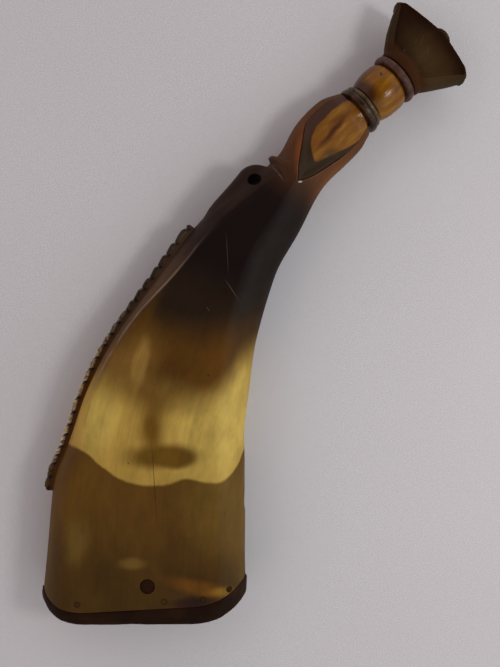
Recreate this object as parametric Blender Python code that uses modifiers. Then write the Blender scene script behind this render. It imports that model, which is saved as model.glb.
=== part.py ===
"""Flattened horn flask: a cow horn pressed flat, shut at its wide end by a pinned wooden board, with a
ringed amber spout in its carved neck and a fan-shaped wooden stopper.

It lies on its back: +X across the base, +Y from the base to the stopper, +Z out of the front face.
Metres. The origin is under the middle of the object's bounding box, on the surface that it lies on.
"""

import bisect
import math

import bmesh
import bpy
from mathutils import Matrix, Vector

MM = 0.001
GAP = 0.3 * MM
MERGE = 0.01 * MM

# The horn: one row for each station along its middle line, in mm. The columns are the place of the
# middle line in X and Y, the width, the thickness, how far each side is rounded over (the convex side
# first), and the wall left between the outside and the hollow across the width and across the thickness.
STATIONS = (
    (-51.9, -136.5, 94.2, 28.0, 12.0, 12.0, 3.0, 3.0),
    (-50.8, -115.5, 92.6, 28.0, 11.0, 12.0, 3.0, 3.0),
    (-49.8, -95.0, 91.2, 28.0, 10.0, 12.0, 3.0, 3.0),
    (-49.2, -87.1, 90.0, 28.0, 9.5, 12.0, 3.0, 3.0),
    (-47.9, -78.9, 86.2, 28.0, 9.0, 12.5, 3.0, 3.0),
    (-46.6, -71.0, 83.0, 28.0, 9.0, 13.0, 3.0, 3.0),
    (-42.0, -50.0, 76.8, 28.0, 8.0, 14.0, 3.0, 3.0),
    (-34.4, -27.1, 68.2, 28.0, 8.0, 15.0, 3.0, 3.0),
    (-24.0, -2.7, 55.4, 28.0, 9.0, 15.0, 3.5, 3.2),
    (-9.1, 26.0, 44.2, 27.2, 10.0, 15.0, 6.0, 4.0),
    (7.2, 45.7, 34.6, 26.2, 11.0, 14.0, 8.6, 5.6),
    (21.4, 63.5, 26.0, 25.2, 12.0, 12.4, 6.4, 6.0),
    (31.4, 76.7, 30.0, 25.0, 13.8, 13.8, 8.0, 6.0),
    (40.5, 86.0, 29.6, 25.0, 13.8, 13.8, 8.0, 6.0),
    (46.6, 90.9, 24.0, 23.6, 11.6, 11.6, 6.0, 6.0),
)
MIDDLE_Z = 14 * MM
SEGMENTS_FLAT = 6
SEGMENTS_ROUND = 5
STEP = 9 * MM
ROUND_LEAST = 1.5 * MM
HOLLOW_STEP = 14 * MM
HOLLOW_SHORT = 14 * MM

# The wide end is cut a little aslant. It is straight across its middle and curves up towards both sides.
END_SLANT = math.tan(math.radians(6.2))
END_FLAT = 16 * MM
END_CROWN = 9 * MM
END_FADE = 42 * MM

# The board that shuts the wide end, and the plug on it.
BOARD_THICK = 6.6 * MM
BOARD_PROUD = 0.8 * MM
BOARD_EASE = 1.2 * MM
BOARD_SLANT = math.tan(math.radians(3.4))
PLUG_LONG = 20.5 * MM

# Pegs through the horn into the plug: places are across the horn and up from its end.
PEG_RADIUS = 3.3 * MM
PEG_SUNK = 0.5 * MM
PEG_AT = (3.1 * MM, 10.5 * MM)
PIN_RADIUS = 1.3 * MM
PIN_LONG = 9 * MM
PIN_SUNK = 0.15 * MM
PIN_UP = 3.3 * MM
PINS_ACROSS = (-28 * MM, 11 * MM, 28.5 * MM, 40 * MM)

# The notched strip along the convex edge, between two distances along the horn's middle line.
RIDGE_FROM = 46.5 * MM
RIDGE_TO = 169.5 * MM
RIDGE_TEETH = 22
RIDGE_GAP = 0.8 * MM
RIDGE_WIDE = 4.3 * MM
RIDGE_ROOT_HALF = 1.75 * MM
RIDGE_CREST_HALF = 3.15 * MM
RIDGE_CREST = 1.0 * MM
TOOTH_DEEP = 1.7 * MM
RIDGE_STEPS_PER_TOOTH = 4

# The lug with the hole for a cord, and the thin rib past it.
LUG_AT = Vector((0.0 * MM, 57.1 * MM, MIDDLE_Z))
LUG_AWAY = Vector((-0.80, -1.0, 0)).normalized()
LUG_RADIUS = 8.5 * MM
LUG_THICK = 15 * MM
LUG_TAIL = 27 * MM
LUG_TAIL_OUT = 0.4 * LUG_RADIUS
LUG_TAIL_IN = 0.9 * LUG_RADIUS
LUG_EASE = 3 * MM
LUG_STEPS = 12
LUG_HOLE_RADIUS = 3.2 * MM
RIB_AT = 212 * MM
RIB_THICK = 1.6 * MM
RIB_PROUD = 1.1 * MM
RIB_SHIFT = 1.4 * MM

# The straight axis of the neck, spout and stopper. Heights below are along it from the dark ring's middle.
NECK_AT = Vector((48.8 * MM, 92.4 * MM, MIDDLE_Z))
NECK_HEADING = math.radians(41.4)
TENON_RADIUS = 9.2 * MM
TENON_FOOT = -25 * MM
TENON_EASE = 1 * MM
BORE_RADIUS = 4.9 * MM
DOWEL_RADIUS = 4.6 * MM
DOWEL_FOOT = 2 * MM
DOWEL_EASE = 0.9 * MM

# The spout's outside past the horn, from its mouth down to the tenon: radius and height in mm.
SEAT_RADIUS = 8.0
MOUTH_RADIUS = 9.0
MOUTH_HEIGHT = 23.6
SPOUT_OUTSIDE = (
    (MOUTH_RADIUS, MOUTH_HEIGHT),
    (MOUTH_RADIUS, 20.4),
    (9.9, 20.0),
    (10.9, 18.0),
    (11.4, 15.0),
    (11.2, 11.5),
    (10.3, 8.0),
    (9.0, 6.0),
    (8.8, 4.5),
    (SEAT_RADIUS, 4.4),
    (SEAT_RADIUS, -2.2),
)
TENON_TOP = -2.4
CHEEK_LONG = 52 * MM
CHEEK_STEP = 6 * MM

# The leaf-shaped window in the neck: height along the neck axis, and how far across to the convex side.
LEAF = (
    (-45.0, -6.2),
    (-40.5, -2.2),
    (-31.0, 5.6),
    (-23.0, 11.6),
    (-17.0, 14.6),
    (-12.0, 19.0),
    (3.0, 19.0),
    (3.0, -16.5),
    (-6.0, -13.2),
    (-21.0, -11.8),
    (-31.0, -10.8),
    (-39.0, -10.0),
)
LEAF_MIDDLE = (-14.0, -1.0)
LEAF_DEPTH = 6.2 * MM
LEAF_SUNK = 0.7 * MM

# The stopper's fan: height, half thickness, the chamfer's width, and the reach to each side.
FAN = (
    (27.1, 9.3, 4.4, 10.6, 10.3),
    (30.0, 9.2, 4.4, 12.6, 11.9),
    (34.5, 8.6, 4.1, 16.0, 14.6),
    (41.0, 7.6, 3.4, 20.6, 17.6),
    (47.4, 6.6, 2.2, 24.8, 20.6),
)
FAN_SIDE_ROUND = 0.5 * MM
FAN_EDGE_LEAST = 1.5
FAN_RIM_RISE = 0.96
FAN_RIM_EASE = 0.5
FAN_RIM_IN = 0.3
FAN_APEX = 4.2 * MM
FAN_COLUMNS = 10
DOWEL_PROUD = 3.2 * MM

# The round foot of the stopper: radius and height in mm, down its outer side.
FOOT = (
    (0, 29.4),
    (11.2, 29.4),
    (12.2, 27.6),
    (12.2, 25.8),
    (11.2, 24.3),
    (0, 24.3),
)

SIDES_FINE = 32
SIDES_MIDDLE = 24
SIDES_SMALL = 12

# How far a cutter runs past what it cuts.
PAST_LITTLE = 3 * MM
PAST = 20 * MM

# Each material: base colour, roughness.
HORN = ("horn", (0.30, 0.22, 0.08), 0.28)
DARK_HORN = ("dark_horn", (0.07, 0.035, 0.02), 0.3)
OLIVE_HORN = ("olive_horn", (0.20, 0.17, 0.09), 0.3)
PURPLE_HORN = ("purple_horn", (0.13, 0.07, 0.05), 0.35)
AMBER_HORN = ("amber_horn", (0.52, 0.26, 0.06), 0.2)
BOARD_WOOD = ("board_wood", (0.06, 0.035, 0.02), 0.55)
PEG_WOOD = ("peg_wood", (0.09, 0.04, 0.035), 0.6)
FAN_WOOD = ("fan_wood", (0.11, 0.065, 0.035), 0.6)

# The rings round the spout, in mm: the radius of the seat under each, the outer radius, the lowest and
# highest height, how far the outer edges are eased, and the material.
RINGS = (
    ("neck_ring_dark", SEAT_RADIUS, 11.3, -1.6, 1.9, 0.9, DARK_HORN),
    ("neck_ring_olive", SEAT_RADIUS, 10.4, 2.2, 4.1, 0.7, OLIVE_HORN),
    ("lip_collar", MOUTH_RADIUS, 11.9, 20.7, 24.0, 1.0, PURPLE_HORN),
)


# ---- the scene ----


def clear_scene():
    for thing in list(bpy.data.objects):
        bpy.data.objects.remove(thing, do_unlink=True)


def new_collection(name):
    made = bpy.data.collections.new(name)
    bpy.context.scene.collection.children.link(made)
    return made


def material(recipe):
    name, colour, roughness = recipe
    made = bpy.data.materials.get(name)
    if made is None:
        made = bpy.data.materials.new(name)
        made.use_nodes = True
        shader = made.node_tree.nodes["Principled BSDF"]
        shader.inputs["Base Color"].default_value = (*colour, 1)
        shader.inputs["Roughness"].default_value = roughness
        shader.inputs["Metallic"].default_value = 0
    return made


def object_from(name, bm, collection, recipe=None, smooth=False):
    """Closes off a bmesh into an object, with its faces pointing out."""
    bmesh.ops.recalc_face_normals(bm, faces=bm.faces)
    mesh = bpy.data.meshes.new(name)
    bm.to_mesh(mesh)
    bm.free()
    if smooth:
        mesh.shade_smooth()
        mesh.set_sharp_from_angle(angle=math.radians(35))
    made = bpy.data.objects.new(name, mesh)
    collection.objects.link(made)
    if recipe:
        mesh.materials.append(material(recipe))
    return made


def boolean(target, cutter, operation):
    step = target.modifiers.new(f"{operation.lower()}_{cutter.name}", "BOOLEAN")
    step.object = cutter
    step.operation = operation
    step.solver = "EXACT"


def as_guide(obj):
    obj.display_type = "WIRE"
    obj.hide_render = True
    return obj


# ---- the horn's shape ----


def hermite(a, b, slope_a, slope_b, t):
    """A cubic from a to b whose slopes at both ends are given, at t from 0 to 1."""
    return (
        (2 * t**3 - 3 * t**2 + 1) * a
        + (t**3 - 2 * t**2 + t) * slope_a
        + (3 * t**2 - 2 * t**3) * b
        + (t**3 - t**2) * slope_b
    )


def station_distances():
    """The distance along the middle line of each station."""
    found = [0.0]
    for one, two in zip(STATIONS, STATIONS[1:]):
        found.append(found[-1] + math.dist(one[:2], two[:2]) * MM)
    return found


DISTANCES = station_distances()
HORN_LONG = DISTANCES[-1]


def station_slopes():
    """How fast each column changes at each station, per metre along the middle line."""
    last = len(STATIONS) - 1
    found = []
    for i in range(last + 1):
        low, high = max(i - 1, 0), min(i + 1, last)
        run = DISTANCES[high] - DISTANCES[low]
        found.append([(b - a) / run for a, b in zip(STATIONS[low], STATIONS[high])])
    return found


SLOPES = station_slopes()


def horn_at(distance):
    """The station's columns at a distance along the middle line, in metres."""
    inside = min(max(distance, 0.0), HORN_LONG)
    i = min(max(bisect.bisect_right(DISTANCES, inside) - 1, 0), len(STATIONS) - 2)
    run = DISTANCES[i + 1] - DISTANCES[i]
    t = (inside - DISTANCES[i]) / run
    rows = zip(STATIONS[i], STATIONS[i + 1], SLOPES[i], SLOPES[i + 1])
    return [hermite(a, b, sa * run, sb * run, t) * MM for a, b, sa, sb in rows]


def horn_frame(distance):
    """The middle line's place, and the directions along it and across it to the concave side."""
    small = 0.5 * MM
    before = horn_at(max(distance, 0) - small)
    after = horn_at(max(distance, 0) + small)
    along = Vector((after[0] - before[0], after[1] - before[1], 0)).normalized()
    across = Vector((along.y, -along.x, 0))
    x, y = horn_at(distance)[:2]
    place = Vector((x, y, MIDDLE_Z)) + along * min(distance, 0)
    return place, along, across


def half_outline(half_wide, half_thick, round_left, round_right):
    """The front half of a section, from its convex edge to its concave edge: a flat between two rounds."""
    points = []
    for i in range(SEGMENTS_ROUND):
        turn = i / SEGMENTS_ROUND * math.pi / 2
        points.append((-half_wide + round_left * (1 - math.cos(turn)), half_thick * math.sin(turn)))
    flat = 2 * half_wide - round_left - round_right
    for i in range(SEGMENTS_FLAT + 1):
        points.append((-half_wide + round_left + flat * i / SEGMENTS_FLAT, half_thick))
    for i in range(SEGMENTS_ROUND - 1, -1, -1):
        turn = i / SEGMENTS_ROUND * math.pi / 2
        points.append((half_wide - round_right * (1 - math.cos(turn)), half_thick * math.sin(turn)))
    return points


def full_outline(front):
    """The front half, then its mirror image back to the start."""
    return front + [(across, -up) for across, up in reversed(front[1:-1])]


def end_curve(across, distance, slant=END_SLANT):
    """How far the wide end's cut carries a point along the horn, dying out away from the end."""
    half_wide = STATIONS[0][2] * MM / 2
    share = max(abs(across) - END_FLAT, 0) / (half_wide - END_FLAT)
    fade = min(max(1 - distance / END_FADE, 0), 1)
    return (END_CROWN * share**2 + slant * across) * fade**2


def horn_ring(distance, grow=0.0, grow_up=0.0, hollow=False, shift=0.0, slant=END_SLANT):
    """One section of the horn in space, or of its hollow, swollen across and up by what is given."""
    x, y, wide, thick, left, right, wall_across, wall_up = horn_at(distance)
    inset_across = wall_across if hollow else 0
    inset_up = wall_up if hollow else 0
    half_wide = wide / 2 - inset_across + grow
    half_thick = thick / 2 - inset_up + grow_up
    round_left = max(min(left - inset_across / 2 + grow, half_wide - MM / 4), ROUND_LEAST)
    round_right = max(min(right - inset_across / 2 + grow, half_wide - MM / 4), ROUND_LEAST)
    place, along, sideways = horn_frame(distance)
    ring = []
    for across, up in full_outline(half_outline(half_wide, half_thick, round_left, round_right)):
        carried = along * end_curve(across, distance, slant)
        ring.append(place + sideways * (across - shift) + carried + Vector((0, 0, up)))
    return ring


def steps_between(start, end, step=STEP):
    count = max(math.ceil((end - start) / step), 1)
    return [start + (end - start) * i / count for i in range(count + 1)]


def loft(rings):
    """A closed solid through rings of equal length. Each ring is a half outline and its mirror image,
    so each end is closed by strips that join the two halves."""
    bm = bmesh.new()
    layers = [[bm.verts.new(point) for point in ring] for ring in rings]
    count = len(rings[0])
    for low, high in zip(layers, layers[1:]):
        for i in range(count):
            j = (i + 1) % count
            bm.faces.new((low[i], low[j], high[j], high[i]))
    for layer in (layers[0], layers[-1]):
        for i in range(count // 2):
            corners = [layer[i], layer[i + 1], layer[-i - 1], layer[-i]]
            if i == 0:
                corners.pop()
            elif i == count // 2 - 1:
                corners.pop(2)
            bm.faces.new(corners)
    return bm


# ---- plain shapes ----


def cylinder(name, radius, start, end, sides, collection, recipe=None, smooth=False):
    """A cylinder between two points in space."""
    run = end - start
    bm = bmesh.new()
    turn = run.to_track_quat("Z", "Y").to_matrix().to_4x4()
    bmesh.ops.create_cone(
        bm,
        cap_ends=True,
        segments=sides,
        radius1=radius,
        radius2=radius,
        depth=run.length,
        matrix=Matrix.Translation((start + end) / 2) @ turn,
    )
    return object_from(name, bm, collection, recipe, smooth)


def prism(name, outline, low, high, collection):
    """An outline in X and Y, carried straight up from low to high in Z."""
    bm = bmesh.new()
    face = bm.faces.new([bm.verts.new((x, y, low)) for x, y in outline])
    made = bmesh.ops.extrude_face_region(bm, geom=[face])
    risen = [item for item in made["geom"] if isinstance(item, bmesh.types.BMVert)]
    bmesh.ops.translate(bm, verts=risen, vec=(0, 0, high - low))
    bmesh.ops.triangulate(bm, faces=bm.faces)
    return object_from(name, bm, collection)


def turned(name, profile, collection, recipe, axis_frame, sides=SIDES_FINE):
    """A profile of (radius, height) in mm, turned about the frame's Z axis. It runs down its outer side,
    and closes on itself unless both its ends are on the axis."""
    mesh = bpy.data.meshes.new(name)
    points = [(radius * MM, 0, height * MM) for radius, height in profile]
    on_axis = profile[0][0] == profile[-1][0] == 0
    edges = [(i, i + 1) for i in range(len(points) - 1)]
    if not on_axis:
        edges.append((len(points) - 1, 0))
    mesh.from_pydata(points, edges, [])
    made = bpy.data.objects.new(name, mesh)
    collection.objects.link(made)
    mesh.materials.append(material(recipe))
    spin = made.modifiers.new("turn", "SCREW")
    spin.steps = sides
    spin.render_steps = sides
    spin.use_merge_vertices = True
    spin.merge_threshold = MERGE
    spin.use_smooth_shade = True
    made.parent = axis_frame
    return made


# ---- the neck's axis ----


def neck_frame():
    """An empty whose Z runs out along the neck and whose X points to the convex side."""
    along = Vector((math.cos(NECK_HEADING), math.sin(NECK_HEADING), 0))
    to_convex = Vector((-along.y, along.x, 0))
    made = bpy.data.objects.new("neck_axis", None)
    bpy.context.scene.collection.objects.link(made)
    turn = Matrix((to_convex, Vector((0, 0, 1)), along)).transposed()
    made.matrix_world = Matrix.Translation(NECK_AT) @ turn.to_4x4()
    return made


def neck_point(height, across=0.0, up=0.0):
    """A point given along the neck axis, across to the convex side, and up."""
    along = Vector((math.cos(NECK_HEADING), math.sin(NECK_HEADING), 0))
    to_convex = Vector((-along.y, along.x, 0))
    return NECK_AT + along * height + to_convex * across + Vector((0, 0, up))


def leaf_outline(inset):
    """The leaf's outline in X and Y, drawn in on every side by inset."""
    points = [neck_point(height * MM, across * MM).to_2d() for height, across in LEAF]
    middle = neck_point(LEAF_MIDDLE[0] * MM, LEAF_MIDDLE[1] * MM).to_2d()
    drawn = []
    for i, point in enumerate(points):
        before, after = points[i - 1], points[(i + 1) % len(points)]
        tangent = (after - before).normalized()
        inward = Vector((-tangent.y, tangent.x))
        if inward.dot(middle - point) < 0:
            inward.negate()
        drawn.append(point + inward * inset)
    return drawn


def leaf_prisms(name, inset, depth, collection):
    """The leaf as a block above the neck's middle and its mirror image below."""
    outline = leaf_outline(inset)
    front = prism(f"{name}_front", outline, MIDDLE_Z + depth, MIDDLE_Z + PAST, collection)
    back = prism(f"{name}_back", outline, MIDDLE_Z - PAST, MIDDLE_Z - depth, collection)
    return [as_guide(front), as_guide(back)]


# ---- the horn and what is cut from it ----


def make_lug(collection):
    """The rounded lug: a flat lobe round the hole, running back along the horn's convex edge."""
    beside = Vector((-LUG_AWAY.y, LUG_AWAY.x, 0))
    outline = []
    for i in range(LUG_STEPS + 1):
        turn = math.pi * (i / LUG_STEPS - 0.5)
        back, out = LUG_RADIUS * math.cos(turn), LUG_RADIUS * math.sin(turn)
        outline.append(LUG_AT - LUG_AWAY * back + beside * out)
    outline.append(LUG_AT + LUG_AWAY * LUG_TAIL + beside * LUG_TAIL_OUT)
    outline.append(LUG_AT + LUG_AWAY * LUG_TAIL - beside * LUG_TAIL_IN)
    flat = [(point.x, point.y) for point in outline]
    lobe = prism("lug", flat, MIDDLE_Z - LUG_THICK / 2, MIDDLE_Z + LUG_THICK / 2, collection)
    ease = lobe.modifiers.new("ease", "BEVEL")
    ease.width = LUG_EASE
    ease.segments = 2
    ease.angle_limit = math.radians(50)
    return as_guide(lobe)


def make_rib(collection):
    """The thin raised rib across the neck, standing proudest on the convex side."""
    rings = [
        horn_ring(distance, RIB_PROUD, RIB_PROUD, shift=RIB_SHIFT)
        for distance in (RIB_AT - RIB_THICK / 2, RIB_AT + RIB_THICK / 2)
    ]
    return as_guide(object_from("rib", loft(rings), collection))


def make_hollow(collection):
    distances = [-PAST_LITTLE] + steps_between(0, HORN_LONG - HOLLOW_SHORT, HOLLOW_STEP)
    rings = [horn_ring(distance, hollow=True) for distance in distances]
    return as_guide(object_from("hollow", loft(rings), collection))


def make_horn(parts, guides, holes, leaves):
    rings = [horn_ring(distance) for distance in steps_between(0, HORN_LONG)]
    horn = object_from("horn_body", loft(rings), parts, HORN, smooth=True)
    boolean(horn, make_lug(guides), "UNION")
    boolean(horn, make_rib(guides), "UNION")
    boolean(horn, make_hollow(guides), "DIFFERENCE")
    socket = cylinder(
        "tenon_socket",
        TENON_RADIUS + GAP,
        neck_point(TENON_FOOT - GAP),
        neck_point(PAST),
        SIDES_FINE,
        guides,
    )
    boolean(horn, as_guide(socket), "DIFFERENCE")
    cord_hole = cylinder(
        "cord_hole",
        LUG_HOLE_RADIUS,
        LUG_AT - Vector((0, 0, PAST)),
        LUG_AT + Vector((0, 0, PAST)),
        SIDES_MIDDLE,
        guides,
    )
    boolean(horn, as_guide(cord_hole), "DIFFERENCE")
    for cutter in leaves + holes:
        boolean(horn, cutter, "DIFFERENCE")
    return horn


def make_board(parts, holes):
    """The board and its plug in one: rings up the outside of the board, in at the step, and up the plug."""
    low, high = -GAP - BOARD_THICK, -GAP
    inner = -GAP
    rings = [
        horn_ring(low, BOARD_PROUD - BOARD_EASE, -BOARD_EASE, slant=BOARD_SLANT),
        horn_ring(low + BOARD_EASE, BOARD_PROUD, slant=BOARD_SLANT),
        horn_ring(high, BOARD_PROUD),
        horn_ring(high, inner, inner, hollow=True),
    ]
    for distance in steps_between(0, PLUG_LONG - BOARD_EASE):
        rings.append(horn_ring(distance, inner, inner, hollow=True))
    rings.append(horn_ring(PLUG_LONG, inner - BOARD_EASE, inner - BOARD_EASE, hollow=True))
    board = object_from("base_board", loft(rings), parts, BOARD_WOOD, smooth=True)
    for cutter in holes:
        boolean(board, cutter, "DIFFERENCE")
    return board


def peg_place(across, up_from_end, height):
    place, along, sideways = horn_frame(up_from_end)
    carried = end_curve(across, up_from_end)
    return place + sideways * across + along * carried + Vector((0, 0, height - MIDDLE_Z))


def make_pegs(parts, guides):
    """The large peg and the small pins, and the holes for them."""
    holes = []
    top = 2 * MIDDLE_Z
    across, up_from_end = PEG_AT
    low = peg_place(across, up_from_end, PEG_SUNK)
    high = peg_place(across, up_from_end, top - PEG_SUNK)
    cylinder("base_peg", PEG_RADIUS, low, high, SIDES_MIDDLE, parts, PEG_WOOD, smooth=True)
    past = Vector((0, 0, PAST_LITTLE))
    holes.append(cylinder("peg_hole", PEG_RADIUS + GAP, low - past, high + past, SIDES_MIDDLE, guides))
    for i, across in enumerate(PINS_ACROSS, 1):
        for side, outer, inner in (
            ("front", top - PIN_SUNK, top - PIN_SUNK - PIN_LONG),
            ("back", PIN_SUNK, PIN_SUNK + PIN_LONG),
        ):
            start = peg_place(across, PIN_UP, outer)
            end = peg_place(across, PIN_UP, inner)
            name = f"base_pin_{side}_{i}"
            cylinder(name, PIN_RADIUS, start, end, SIDES_SMALL, parts, PEG_WOOD, smooth=True)
            out = (start - end).normalized()
            hole = cylinder(
                f"{name}_hole",
                PIN_RADIUS + GAP,
                start + out * PAST_LITTLE,
                end - out * GAP,
                SIDES_SMALL,
                guides,
            )
            holes.append(hole)
    return [as_guide(hole) for hole in holes]


def make_ridge(parts):
    """The notched strip: it follows the convex edge, and its outer side rises and drops once a tooth."""
    count = RIDGE_TEETH * RIDGE_STEPS_PER_TOOTH
    rings = []
    for i in range(count + 1):
        distance = RIDGE_FROM + (RIDGE_TO - RIDGE_FROM) * i / count
        place, _, sideways = horn_frame(distance)
        edge = horn_at(distance)[2] / 2
        in_notch = i % RIDGE_STEPS_PER_TOOTH == 0
        height = RIDGE_WIDE - (TOOTH_DEEP if in_notch else 0)
        inner = place - sideways * (edge + RIDGE_GAP)
        outer = place - sideways * (edge + height)
        shoulder = outer + sideways * RIDGE_CREST
        root_up = Vector((0, 0, RIDGE_ROOT_HALF))
        crest_up = Vector((0, 0, RIDGE_CREST_HALF))
        ring = [inner, inner + root_up, shoulder + crest_up, outer, shoulder - crest_up, inner - root_up]
        rings.append(ring)
    return object_from("notched_ridge", loft(rings), parts, DARK_HORN)


# ---- the neck pieces ----


def make_spout(parts, guides, frame, leaves):
    """The amber tube: a tenon in the horn, a seat for the rings and the barrel, with a bore through it all."""
    tenon, bore, foot, ease = (size / MM for size in (TENON_RADIUS, BORE_RADIUS, TENON_FOOT, TENON_EASE))
    inside = (
        (tenon, TENON_TOP),
        (tenon, foot + ease),
        (tenon - ease, foot),
        (bore, foot),
        (bore, MOUTH_HEIGHT),
    )
    profile = SPOUT_OUTSIDE + inside
    spout = turned("spout", profile, parts, AMBER_HORN, frame)
    distances = steps_between(HORN_LONG - CHEEK_LONG, HORN_LONG - GAP, CHEEK_STEP)
    for leaf in leaves:
        rings = [horn_ring(distance, -LEAF_SUNK, -LEAF_SUNK) for distance in distances]
        cheek = object_from(f"cheek_{leaf.name}", loft(rings), guides)
        boolean(cheek, leaf, "INTERSECT")
        boolean(spout, as_guide(cheek), "UNION")
    return spout


def ring_profile(inner, outer, low, high, ease):
    """A ring's section with its outer edges eased."""
    return (
        (inner, high),
        (outer - ease, high),
        (outer, high - ease),
        (outer, low + ease),
        (outer - ease, low),
        (inner, low),
    )


def make_rings(parts, frame):
    for name, seat, outer, low, high, ease, recipe in RINGS:
        turned(name, ring_profile(seat + GAP / MM, outer, low, high, ease), parts, recipe, frame)


def fan_ring(height, half_thick, chamfer, reach_convex, reach_concave, crown=0.0):
    """A section of the fan: flat front and back, with a chamfer down to each side edge."""
    left, right = -reach_concave * MM, reach_convex * MM
    edge_half = max(half_thick - chamfer, FAN_EDGE_LEAST) * MM
    half = half_thick * MM
    cut = chamfer * MM
    front = [(left - FAN_SIDE_ROUND, 0), (left, edge_half)]
    for i in range(FAN_COLUMNS + 1):
        front.append((left + cut + (right - left - 2 * cut) * i / FAN_COLUMNS, half))
    front += [(right, edge_half), (right + FAN_SIDE_ROUND, 0)]
    reach = max(-left, right)
    return [
        neck_point(height * MM + crown * (1 - abs(across) / reach), across, up)
        for across, up in full_outline(front)
    ]


def make_stopper(parts, guides, frame):
    """The fan-shaped head on its round foot, and the dowel that runs through it into the spout."""
    head = turned("stopper_head", FOOT, parts, FAN_WOOD, frame)
    rings = [fan_ring(*row) for row in FAN]
    height, half, chamfer, convex, concave = FAN[-1]
    rim = (height + FAN_RIM_RISE, half - FAN_RIM_EASE, chamfer, convex - FAN_RIM_IN, concave - FAN_RIM_IN)
    rings.append(fan_ring(*rim, crown=FAN_APEX))
    fan = object_from("fan", loft(rings), guides)
    boolean(head, as_guide(fan), "UNION")
    top = FAN[-1][0] * MM + FAN_APEX + DOWEL_PROUD
    hole = cylinder(
        "dowel_hole",
        DOWEL_RADIUS + GAP,
        neck_point((FOOT[-1][1] * MM) - PAST_LITTLE),
        neck_point(top + PAST_LITTLE),
        SIDES_MIDDLE,
        guides,
    )
    boolean(head, as_guide(hole), "DIFFERENCE")
    radius, high, low, ease = (size / MM for size in (DOWEL_RADIUS, top, DOWEL_FOOT, DOWEL_EASE))
    dowel = (
        (0, high),
        (radius - ease, high),
        (radius, high - ease),
        (radius, low + ease),
        (radius - ease, low),
        (0, low),
    )
    turned("stopper_dowel", dowel, parts, FAN_WOOD, frame, SIDES_MIDDLE)


def main():
    clear_scene()
    parts = new_collection("horn_flask")
    guides = new_collection("guides")
    frame = neck_frame()
    holes = make_pegs(parts, guides)
    window = leaf_prisms("leaf_window", 0, LEAF_DEPTH - GAP, guides)
    filling = leaf_prisms("leaf_filling", GAP, LEAF_DEPTH, guides)
    make_horn(parts, guides, holes, window)
    make_board(parts, holes)
    make_ridge(parts)
    make_spout(parts, guides, frame, filling)
    make_rings(parts, frame)
    make_stopper(parts, guides, frame)


main()
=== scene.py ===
"""The looks of the flattened horn flask: fine meshes for every piece, their materials, and the studio.

Metres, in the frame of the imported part: +X across the base to the concave side, +Y from the base to the
stopper, +Z out of the front face. Sizes are written in mm and multiplied by MM.
"""

import bisect
import math

import bmesh
import bpy
import numpy as np
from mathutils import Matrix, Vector, noise
from mathutils.bvhtree import BVHTree


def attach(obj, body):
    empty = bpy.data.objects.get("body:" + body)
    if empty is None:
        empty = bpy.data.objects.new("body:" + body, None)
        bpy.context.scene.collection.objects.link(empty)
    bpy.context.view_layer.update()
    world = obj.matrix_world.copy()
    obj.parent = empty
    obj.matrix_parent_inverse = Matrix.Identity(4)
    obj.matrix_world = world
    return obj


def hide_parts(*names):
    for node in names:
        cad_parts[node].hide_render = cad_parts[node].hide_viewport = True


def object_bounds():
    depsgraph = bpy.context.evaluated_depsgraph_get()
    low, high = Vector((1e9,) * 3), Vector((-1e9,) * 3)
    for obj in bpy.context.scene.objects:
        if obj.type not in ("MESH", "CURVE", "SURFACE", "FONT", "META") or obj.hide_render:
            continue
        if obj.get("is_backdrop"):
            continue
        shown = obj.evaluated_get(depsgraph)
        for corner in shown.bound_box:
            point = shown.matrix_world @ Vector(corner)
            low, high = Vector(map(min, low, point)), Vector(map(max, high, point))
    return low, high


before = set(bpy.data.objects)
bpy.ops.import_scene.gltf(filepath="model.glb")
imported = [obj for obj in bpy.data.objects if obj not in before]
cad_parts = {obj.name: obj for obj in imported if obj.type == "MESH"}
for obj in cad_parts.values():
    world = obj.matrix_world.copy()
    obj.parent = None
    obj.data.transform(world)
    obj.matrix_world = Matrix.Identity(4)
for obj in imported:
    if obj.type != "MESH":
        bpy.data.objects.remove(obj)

MM = 0.001
CAD_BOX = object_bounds()

# The horn: one row for each station along its middle line, in mm. The columns are the place of the
# middle line in X and Y, the width, the thickness, how far each side is rounded over (the convex side
# first), and the wall left between the outside and the hollow across the width and across the thickness.
STATIONS = (
    (-51.9, -136.5, 94.2, 28.0, 12.0, 12.0, 3.0, 3.0),
    (-50.8, -115.5, 92.6, 28.0, 11.0, 12.0, 3.0, 3.0),
    (-49.8, -95.0, 91.2, 28.0, 10.0, 12.0, 3.0, 3.0),
    (-49.1, -87.1, 90.3, 28.0, 9.5, 12.0, 3.0, 3.0),
    (-47.4, -78.9, 87.3, 28.0, 9.0, 12.5, 3.0, 3.0),
    (-46.0, -71.0, 84.2, 28.0, 9.0, 13.0, 3.0, 3.0),
    (-42.0, -50.0, 76.8, 28.0, 6.4, 14.0, 3.0, 3.0),
    (-34.4, -27.1, 68.2, 28.0, 6.2, 15.0, 3.0, 3.0),
    (-24.0, -2.7, 55.4, 28.0, 7.2, 15.0, 3.5, 3.2),
    (-9.1, 26.0, 44.2, 27.2, 10.0, 15.0, 6.0, 4.0),
    (7.2, 45.7, 34.6, 26.2, 11.0, 14.0, 8.6, 5.6),
    (21.4, 63.5, 26.0, 25.2, 12.0, 12.4, 6.4, 6.0),
    (31.4, 76.7, 30.0, 25.0, 13.8, 13.8, 8.0, 6.0),
    (40.5, 86.0, 29.6, 25.0, 13.8, 13.8, 8.0, 6.0),
    (46.6, 90.9, 24.0, 23.6, 11.6, 11.6, 6.0, 6.0),
)
MIDDLE_Z = 14.0

# How far to each side of a place the horn's heading there is taken from.
HEADING_REACH = 5.0

# The play between pieces, and round the pegs, which are driven in tight.
GAP = 0.3
PEG_GAP = 0.12

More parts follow.
